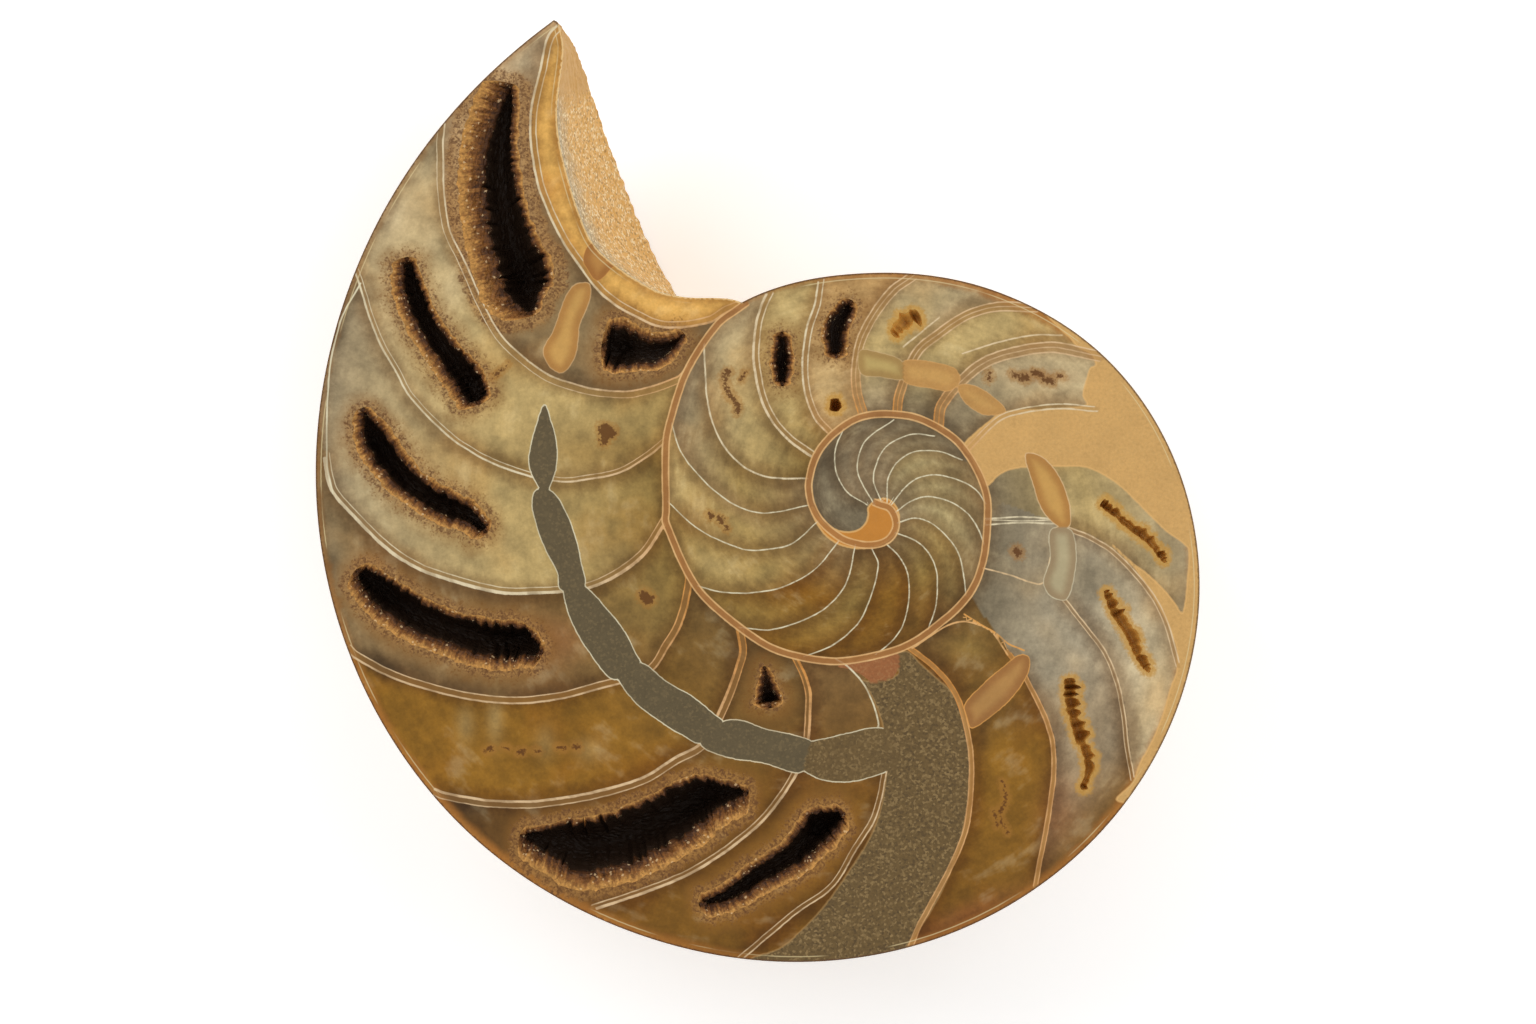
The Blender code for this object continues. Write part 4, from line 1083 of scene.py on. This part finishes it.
# %% Sums of nodes
class Wire:
    """One output of a node, which sums can use like a number."""

    def __init__(self, finish, socket):
        self.finish, self.socket = finish, socket

    def math(self, operation, first, second=None):
        inputs = {0: first} if second is None else {0: first, 1: second}
        return self.finish.add("ShaderNodeMath", {"operation": operation}, inputs)

    def __add__(self, other):
        return self.math("ADD", self, other)

    def __radd__(self, other):
        return self.math("ADD", other, self)

    def __sub__(self, other):
        return self.math("SUBTRACT", self, other)

    def __rsub__(self, other):
        return self.math("SUBTRACT", other, self)

    def __mul__(self, other):
        return self.math("MULTIPLY", self, other)

    def __rmul__(self, other):
        return self.math("MULTIPLY", other, self)

    def __truediv__(self, other):
        return self.math("DIVIDE", self, other)

    def __abs__(self):
        return self.math("ABSOLUTE", self)

    def least(self, other):
        return self.math("MINIMUM", self, other)

    def most(self, other):
        return self.math("MAXIMUM", self, other)


class Finish:
    """A material, and the one method that adds its nodes."""

    def __init__(self, name, roughness, shine=0.5):
        self.material = bpy.data.materials.new(name)
        self.material.use_nodes = True
        self.tree = self.material.node_tree
        self.shader = self.tree.nodes["Principled BSDF"]
        self.shader.inputs["Roughness"].default_value = roughness
        self.shader.inputs["Specular IOR Level"].default_value = shine

    def add(self, kind, settings=None, inputs=None, output=0):
        node = self.tree.nodes.new(kind)
        for name, value in (settings or {}).items():
            setattr(node, name, value)
        for key, value in (inputs or {}).items():
            self.join(node.inputs[key], value)
        return Wire(self, node.outputs[output])

    def join(self, socket, value):
        if isinstance(value, Wire):
            self.tree.links.new(value.socket, socket)
        else:
            socket.default_value = value

    def value(self, name, output="Fac"):
        """What a mesh keeps under this name at each point, as a number or as a colour."""
        return self.add("ShaderNodeAttribute", {"attribute_name": name}, output=output)

    def rise(self, value, start, end):
        """0 up to start, 1 from end, and a smooth rise between."""
        return self.add("ShaderNodeMapRange", {"interpolation_type": "SMOOTHSTEP"},
                        {"Value": value, "From Min": start, "From Max": end})

    def step(self, value, start, end):
        """The same between two plain numbers. With start above end it falls from 1 to 0."""
        return self.rise(value, start, end) if end > start else self.rise(0 - value, -start, -end)

    def mix(self, factor, first, second, blend="MIX"):
        return self.add("ShaderNodeMix", {"data_type": "RGBA", "blend_type": blend},
                        {0: factor, 6: first, 7: second}, output=2)

    def times(self, first, second):
        """Two colours multiplied."""
        return self.mix(1.0, first, second, "MULTIPLY")

    def noise(self, size, detail=2.0, rough=0.5, place=None):
        """Soft noise around 0.5 whose lumps are about size mm across."""
        inputs = {"Scale": 1 / (size * MM), "Detail": detail, "Roughness": rough}
        inputs["Vector"] = place or self.place()
        return self.add("ShaderNodeTexNoise", None, inputs)

    def cells(self, size, feature="F1", place=None, output="Distance"):
        """Grains about size mm across: the distance from the middle of each, or its own random colour."""
        return self.add("ShaderNodeTexVoronoi", {"feature": feature},
                        {"Scale": 1 / (size * MM), "Vector": place or self.place()}, output)

    def math(self, operation, first, second=None):
        return Wire(self, None).math(operation, first, second)

    def joined(self, x, y, z):
        return self.add("ShaderNodeCombineXYZ", None, {"X": x, "Y": y, "Z": z})

    def grey(self, level):
        return self.joined(level, level, level)

    def grey_of(self, colour):
        """One number out of the random colour of a grain."""
        return self.add("ShaderNodeSeparateColor", None, {0: colour})

    def place(self):
        if not hasattr(self, "here"):
            self.here = self.add("ShaderNodeTexCoord", output="Object")
        return self.here

    def bump(self, height, distance, strength=1.0):
        normal = self.add("ShaderNodeBump", None,
                          {"Height": height, "Distance": distance * MM, "Strength": strength})
        self.join(self.shader.inputs["Normal"], normal)

    def colour(self, value):
        self.join(self.shader.inputs["Base Color"], value)

    def rough(self, value):
        self.join(self.shader.inputs["Roughness"], value)


def put_on(finish, *pieces):
    for piece in pieces:
        piece.data.materials.clear()
        piece.data.materials.append(finish.material)

# %% The polished stone: clouds and stains
polish = Finish("polished fossil", roughness=0.24, shine=0.3)
clouds = polish.noise(4.5, 3.0, 0.55)
patches = polish.noise(9.0, 2.0, 0.5)
wisps = polish.noise(1.6, 4.0, 0.65)
grain = polish.noise(0.3, 2.0, 0.6)
along_growth = polish.joined(polish.value("out") * 0.03, polish.value("turn") * 0.00016, 0.0)
streaks = polish.noise(1.4, 3.0, 0.6, along_growth)
rim, cave = polish.value("rim_away"), polish.value("cave_away")
wall_side, wall_away = polish.value("wall_side"), polish.value("wall_away")
coil_side, coil_away = polish.value("coil_side"), polish.value("coil_away")

stone = polish.value("stone", "Color")
light = (0.62 + polish.step(clouds, 0.3, 0.7) * 0.38 + polish.step(wisps, 0.3, 0.7) * 0.24
         + polish.step(streaks, 0.3, 0.7) * 0.14)
stone = polish.times(stone, polish.grey(light))
stone = polish.mix(polish.step(patches, 0.5, 0.7) * 0.35, stone,
                   polish.times(stone, ink(232, 196, 138)))
milky = polish.step(clouds + (streaks - 0.5) * 0.5, 0.55, 0.75)
stone = polish.mix(milky * 0.3, stone, polish.mix(0.5, stone, ink(220, 208, 164)))
next_to = wall_away.least(coil_away).least(rim + 0.4)
beside = polish.step(next_to + (wisps - 0.5) * 1.4 + (streaks - 0.5) * 0.8, 2.2, 0.2)
stone = polish.mix(beside * 0.6, stone, polish.times(stone, ink(176, 150, 124)))
stain = 1 - polish.rise(rim + (wisps - 0.5) * 1.1, 0.25, polish.value("stain_breadth") * 1.6)
stain = stain * polish.value("stain")
stone = polish.mix(stain * 0.9, stone, polish.mix(wisps, ink(156, 92, 32), ink(202, 140, 68)))
stone = polish.times(stone, polish.grey(0.82 + grain * 0.36))

# %% The polished stone: fringes of the caves
radius = polish.value("cave_fringe")
tone = polish.grey_of(polish.cells(0.2, "F1", output="Color"))
fibres = polish.noise(1.0, 3.0, 0.7, polish.joined(polish.value("cave_along") * 0.002, cave * 0.0004, 0.0))
halo = 1 - polish.rise(cave + (grain - 0.5) * 1.2 + (fibres - 0.5) * 1.6, radius - 0.3, radius + 0.25)
fringe = polish.mix(polish.step(tone * 0.3 + grain * 0.3 + fibres * 0.6, 0.4, 0.8), ink(100, 62, 26),
                    polish.mix(0.45, ink(190, 138, 70), stone))
glow = (polish.step(cave + (clouds - 0.5) * 2.4 + (wisps - 0.5) * 1.5, 2.4, 0.2)
        * polish.step(radius, 0.1, 0.5))
stone = polish.mix(glow * 0.4, stone, ink(160, 110, 50))
flecks = polish.step(cave, 2.2, 0.6) * polish.step(tone + (fibres - 0.5), 0.75, 1.0)
flecks = flecks * polish.step(radius, 0.1, 0.5) * 0.6
stone = polish.mix(flecks, stone, ink(116, 74, 30))
stone = polish.mix(halo * 0.85, stone, fringe)
# Beside the open crevices the face is painted ochre-gold: partly the stone's ochre, partly a painted lit
# crevice wall.
crevice = (polish.step(radius, 0.3, 0.1)
           * polish.step(cave + (grain - 0.5) * 0.8 + (wisps - 0.5) * 0.8, 0.8, 0.25))
stone = polish.mix(crevice * 0.8, stone, polish.mix(grain, ink(176, 126, 48), ink(216, 168, 86)))
crack = polish.value("crack_away") + (grain - 0.5) * 1.1 + (wisps - 0.5) * 0.7
stone = polish.mix(polish.step(crack, 0.7, 0.1) * 0.5, stone, ink(168, 116, 50))
stone = polish.mix(polish.step(crack, 0.1, -0.15) * 0.85, stone, ink(92, 54, 22))

# %% The polished stone: fillings
def thin_line(finish, side, away, width, reach=0.0, soft=0.05):
    """1 on a line of this width in mm along a distance of 0, at most reach from the line it belongs to."""
    near = finish.step(away - reach, 0.42, 0.26)
    return finish.step(abs(side) - width * 0.5, soft, 0 - soft) * near


def speckled(finish, colour, strength):
    """Sandy stone: pale and dark grains over its colour, as strong as the filling is grainy."""
    tone = finish.grey_of(finish.cells(0.24, output="Color"))
    soft = finish.noise(0.35, 2.0, 0.7)
    colour = finish.mix(finish.step(tone, 0.6, 1.0) * strength * 0.24, colour, ink(200, 168, 114))
    colour = finish.mix(finish.step(tone, 0.3, 0.0) * strength * strength * 0.4, colour, ink(58, 44, 28))
    return finish.mix(strength, colour, finish.times(colour, finish.grey(0.55 + soft * 0.9)))


cream = polish.mix(wisps, ink(214, 202, 166), ink(238, 230, 198))
amber = ink(222, 160, 84)
ground = polish.value("ground_inside") + (wisps - 0.5) * 0.15
in_ground = polish.step(ground, -0.05, 0.05)
ground_grain = polish.value("ground_grain")
filling = polish.times(polish.value("ground_stone", "Color"),
                     polish.grey(0.8 + clouds * 0.2 + wisps * 0.2))
stone = polish.mix(in_ground, stone, speckled(polish, filling, ground_grain))
ground_line = polish.step(abs(ground), 0.16, 0.05) * polish.value("ground_outline")
stone = polish.mix(ground_line * 0.8, stone, ink(228, 180, 112))

# %% The polished stone: walls
partner, gold = polish.value("wall_partner"), polish.value("wall_gold")
sway = (clouds - 0.5) * 0.3 + (wisps - 0.5) * 0.1
side = wall_side + sway
vary = 0.6 + wisps * 0.8
wall_colour = polish.mix(gold, cream, polish.mix(wisps, ink(202, 124, 46), ink(224, 166, 92)))
half_gap = abs(partner) * 0.5
in_gap = (polish.step(abs(side - partner * 0.5) - half_gap, 0.1, -0.1)
          * polish.step(wall_away - abs(partner), 0.5, 0.3))
gap_colour = polish.mix(gold, ink(150, 118, 72), polish.mix(streaks, ink(170, 110, 48), ink(208, 158, 92)))
stone = polish.mix(in_gap * polish.value("wall_gap") * polish.step(abs(partner), 0.1, 0.3), stone, gap_colour)
worn = 0.5 + polish.step(streaks, 0.35, 0.6) * 0.5
first = thin_line(polish, side, wall_away, polish.value("wall_first") * vary)
second = thin_line(polish, side - partner, wall_away, polish.value("wall_second") * vary, abs(partner))
third = (thin_line(polish, side - partner * 0.5, wall_away, 0.12, abs(partner))
         * polish.step(abs(partner), 0.75, 0.85))
has_second = polish.step(abs(partner), 0.1, 0.3)
stone = polish.mix(first.most(second * has_second * 0.9).most(third * 0.7) * worn, stone, wall_colour)

short = thin_line(polish, polish.value("short_side") + sway, polish.value("short_away"), vary * 0.17)
short_colour = polish.mix(polish.value("short_gold"), cream, amber)
stone = polish.mix(short * worn, stone, short_colour)

coil_sway = coil_side + sway * 0.6
coil_gap = thin_line(polish, coil_sway, coil_away, 0.62, 0.3)
stone = polish.mix(coil_gap * 0.85, stone, polish.mix(wisps, ink(144, 94, 48), ink(186, 130, 74)))
coil_pair = thin_line(polish, abs(coil_sway) - 0.36, coil_away, vary * 0.16, 0.36)
stone = polish.mix(coil_pair * (0.6 + worn * 0.4), stone,
                   polish.mix(wisps, ink(206, 148, 84), ink(232, 196, 140)))

# %% The polished stone: beads and rim
bead = polish.value("bead_inside") + (wisps - 0.5) * 0.25
bead_grain = polish.value("bead_grain")
fill = polish.times(polish.value("bead_stone", "Color"),
                  polish.grey(0.72 + clouds * 0.24 + wisps * 0.3))
pale_core = polish.step(bead, 0.3, 1.3)
fill = polish.mix(polish.step(bead_grain, 0.5, 0.3), fill,
                  polish.times(fill, polish.mix(pale_core, ink(226, 212, 194), ink(255, 255, 240))))
stone = polish.mix(polish.step(bead, -0.05, 0.05), stone, speckled(polish, fill, bead_grain * 0.7))
in_sand = in_ground * polish.step(ground_grain, 0.85, 0.95)
bead_line = polish.step(abs(bead), 0.1, 0.02) * polish.value("bead_outline") * (1 - in_sand)
stone = polish.mix(bead_line * (0.3 + worn * 0.6), stone, polish.mix(polish.value("bead_gold"), cream, amber))

pale_rim = thin_line(polish, rim - 0.6, rim, 0.1, 0.6) * polish.step(patches, 0.42, 0.55)
stone = polish.mix(pale_rim * 0.7, stone, ink(220, 200, 150))
edge_colour = polish.mix(polish.value("band"), ink(92, 62, 36), ink(236, 202, 142))
stone = polish.mix(polish.step(rim + (grain - 0.5) * 0.2, 0.26, 0.1) * 0.8, stone, edge_colour)
polish.colour(stone)
sandy = (in_ground * ground_grain).most(polish.step(bead, -0.05, 0.05) * bead_grain).most(halo)
polish.rough(0.22 + sandy * 0.3)
polish.bump(grain * sandy, 0.05, 0.35)
put_on(polish, cut_face)

# %% The rough stone: outside of the shell
rough = Finish("weathered shell", roughness=0.62)
turn, deep, share = rough.value("turn"), rough.value("deep"), rough.value("share")
lumps = rough.noise(7.0, 4.0, 0.6)
blotches = rough.noise(2.2, 3.0, 0.6)
specks = rough.noise(0.5, 3.0, 0.6)
skin = rough.mix(rough.step(lumps, 0.35, 0.65), ink(140, 108, 66), ink(186, 152, 100))
skin = rough.mix(rough.step(blotches, 0.5, 0.7) * 0.6, skin, ink(214, 190, 142))
skin = rough.mix(rough.step(blotches, 0.42, 0.3) * 0.5, skin, ink(106, 78, 46))
growth = rough.math("SINE", turn * 2.6 + blotches * 5.0 + share * 9.0)
skin = rough.mix(rough.step(growth, 0.2, 1.0) * 0.25, skin, ink(120, 88, 52))

# %% The rough stone: bowl, and pits with painted shade
bowl = rough.value("bowl")
across = rough.value("bowl_across")
gritty = rough.cells(0.26, output="Color")
grit = rough.grey_of(gritty)
shade = rough.step(across + (blotches - 0.5) * 0.5, 0.02, 0.6)
sandy_bowl = rough.mix(shade, ink(180, 160, 124), ink(224, 172, 90))
sandy_bowl = rough.mix(rough.step(grit, 0.7, 0.95) * 0.8, sandy_bowl, ink(250, 232, 188))
sandy_bowl = rough.mix(rough.step(grit, 0.3, 0.05) * 0.6, sandy_bowl, ink(150, 112, 60))
sandy_bowl = rough.mix(rough.step(rough.value("from_tip") + (blotches - 0.5) * 4.0, 9.0, 6.0), sandy_bowl,
                       ink(206, 158, 84))
skin = rough.mix(rough.step(bowl, 0.3, 0.7), skin, sandy_bowl)
# Ochre pit walls, with painted shade that darkens them from 0.3 to 2.6 mm deep.
pit_wall_and_painted_shade = rough.mix(rough.step(deep + (specks - 0.5) * 1.2, 0.3, 2.6), ink(226, 176, 84),
                       ink(160, 106, 36))
skin = rough.mix(rough.step(rough.value("pit"), 0.3, 0.7), skin, pit_wall_and_painted_shade)
rough.colour(skin)
rough.bump(specks * 0.5 + growth * 0.12 + blotches * 0.6, 0.25, 0.7)
put_on(rough, shell_back)

# %% The crystals' colour, with painted shade towards the hole and deep in the cave, and painted glints
crystal = Finish("brown crystals", roughness=0.55, shine=0.2)
deep = crystal.value("deep")
sparkle = crystal.noise(0.35, 3.0, 0.7)
facets = crystal.grey_of(crystal.cells(0.22, output="Color"))
threads = crystal.joined(crystal.value("along") * 0.0024, crystal.value("across") * 0.0005, 0.0)
streaks = crystal.noise(1.0, 3.0, 0.7, threads)
# Darker from the mouth down to the hole: partly the crystals' own colour, partly painted shade down the
# sloping wall.
inner = crystal.value("fringe") + (sparkle - 0.5) * 0.7 + (streaks - 0.5) * 1.6
brown = crystal.mix(crystal.step(inner, 0.0, 0.6), ink(182, 132, 68), ink(118, 74, 32))
brown = crystal.mix(crystal.step(inner, 0.5, 1.0), brown, ink(66, 38, 18))
brown = crystal.times(brown, crystal.grey(0.6 + facets * 0.6 + sparkle * 0.3))
# Painted shade deep in the cave, over the crystals' own dark brown: they go near-black with depth.
brown = crystal.mix(crystal.step(deep + (sparkle - 0.5) * 1.2 + (streaks - 0.5) * 1.2, 0.8, 2.8), brown,
                    ink(46, 31, 20))
glint = crystal.step(facets, 0.965, 0.985) * crystal.step(deep, 4.0, 1.5)
brown = crystal.mix(glint * 0.6, brown, ink(216, 186, 140))
crystal.colour(brown)
put_on(crystal, *linings)

# %% [markdown]
# ## The studio
#
# The stone lies on a plain pale floor under soft light from all sides, and the camera looks straight
# down on it.

# %% Floor, lights and camera
PIXELS_ACROSS, PIXELS_PER_MM = 1536, 9
FRAME_WIDTH = PIXELS_ACROSS / PIXELS_PER_MM * MM
FRAME_CENTRE = (1.156 * MM, -2.501 * MM)
LENS, SENSOR = 120, 36
FLOOR_SIZE, FLOOR_HEIGHT = 3, -0.0002
LIGHT_SIZE = 0.7

bpy.ops.object.select_all(action="DESELECT")
bpy.ops.mesh.primitive_plane_add(size=FLOOR_SIZE, location=(0, 0, FLOOR_HEIGHT))
floor = bpy.context.object
floor.name = "floor"
paper = Finish("pale paper", roughness=0.9)
paper.colour(ink(252, 252, 252))
paper.shader.inputs["Emission Color"].default_value = (1, 1, 1, 1)
paper.shader.inputs["Emission Strength"].default_value = 0.3
put_on(paper, floor)


def soft_light(name, place, aim, size, power):
    lamp = bpy.data.lights.new(name, "AREA")
    lamp.shape, lamp.size, lamp.energy = "SQUARE", size, power
    thing = bpy.data.objects.new(name, lamp)
    bpy.context.scene.collection.objects.link(thing)
    thing.location = place
    thing.rotation_euler = (Vector(aim) - Vector(place)).to_track_quat("-Z", "Y").to_euler()


# A window on the left and paler light from the other sides keep the shadows soft.
for name, place, power in (("window", (-0.6, 0.45, 0.55), 4.0), ("right side", (0.65, 0.2, 0.6), 2.0),
                           ("near side", (0.1, -0.65, 0.6), 2.0), ("far side", (0.25, 0.65, 0.6), 1.6)):
    soft_light(name, place, (0, 0, 0), LIGHT_SIZE, power)

world = bpy.data.worlds.new("room")
world.use_nodes = True
world.node_tree.nodes["Background"].inputs["Color"].default_value = (1, 1, 1, 1)
world.node_tree.nodes["Background"].inputs["Strength"].default_value = 0.35
bpy.context.scene.world = world
bpy.context.scene.view_settings.view_transform = "Standard"

camera = bpy.data.cameras.new("camera")
camera.lens, camera.sensor_width = LENS, SENSOR
camera.clip_start = 0.01
eye = bpy.data.objects.new("camera", camera)
bpy.context.scene.collection.objects.link(eye)
eye.location = (*FRAME_CENTRE, face_height + FRAME_WIDTH * LENS / SENSOR)
bpy.context.scene.camera = eye
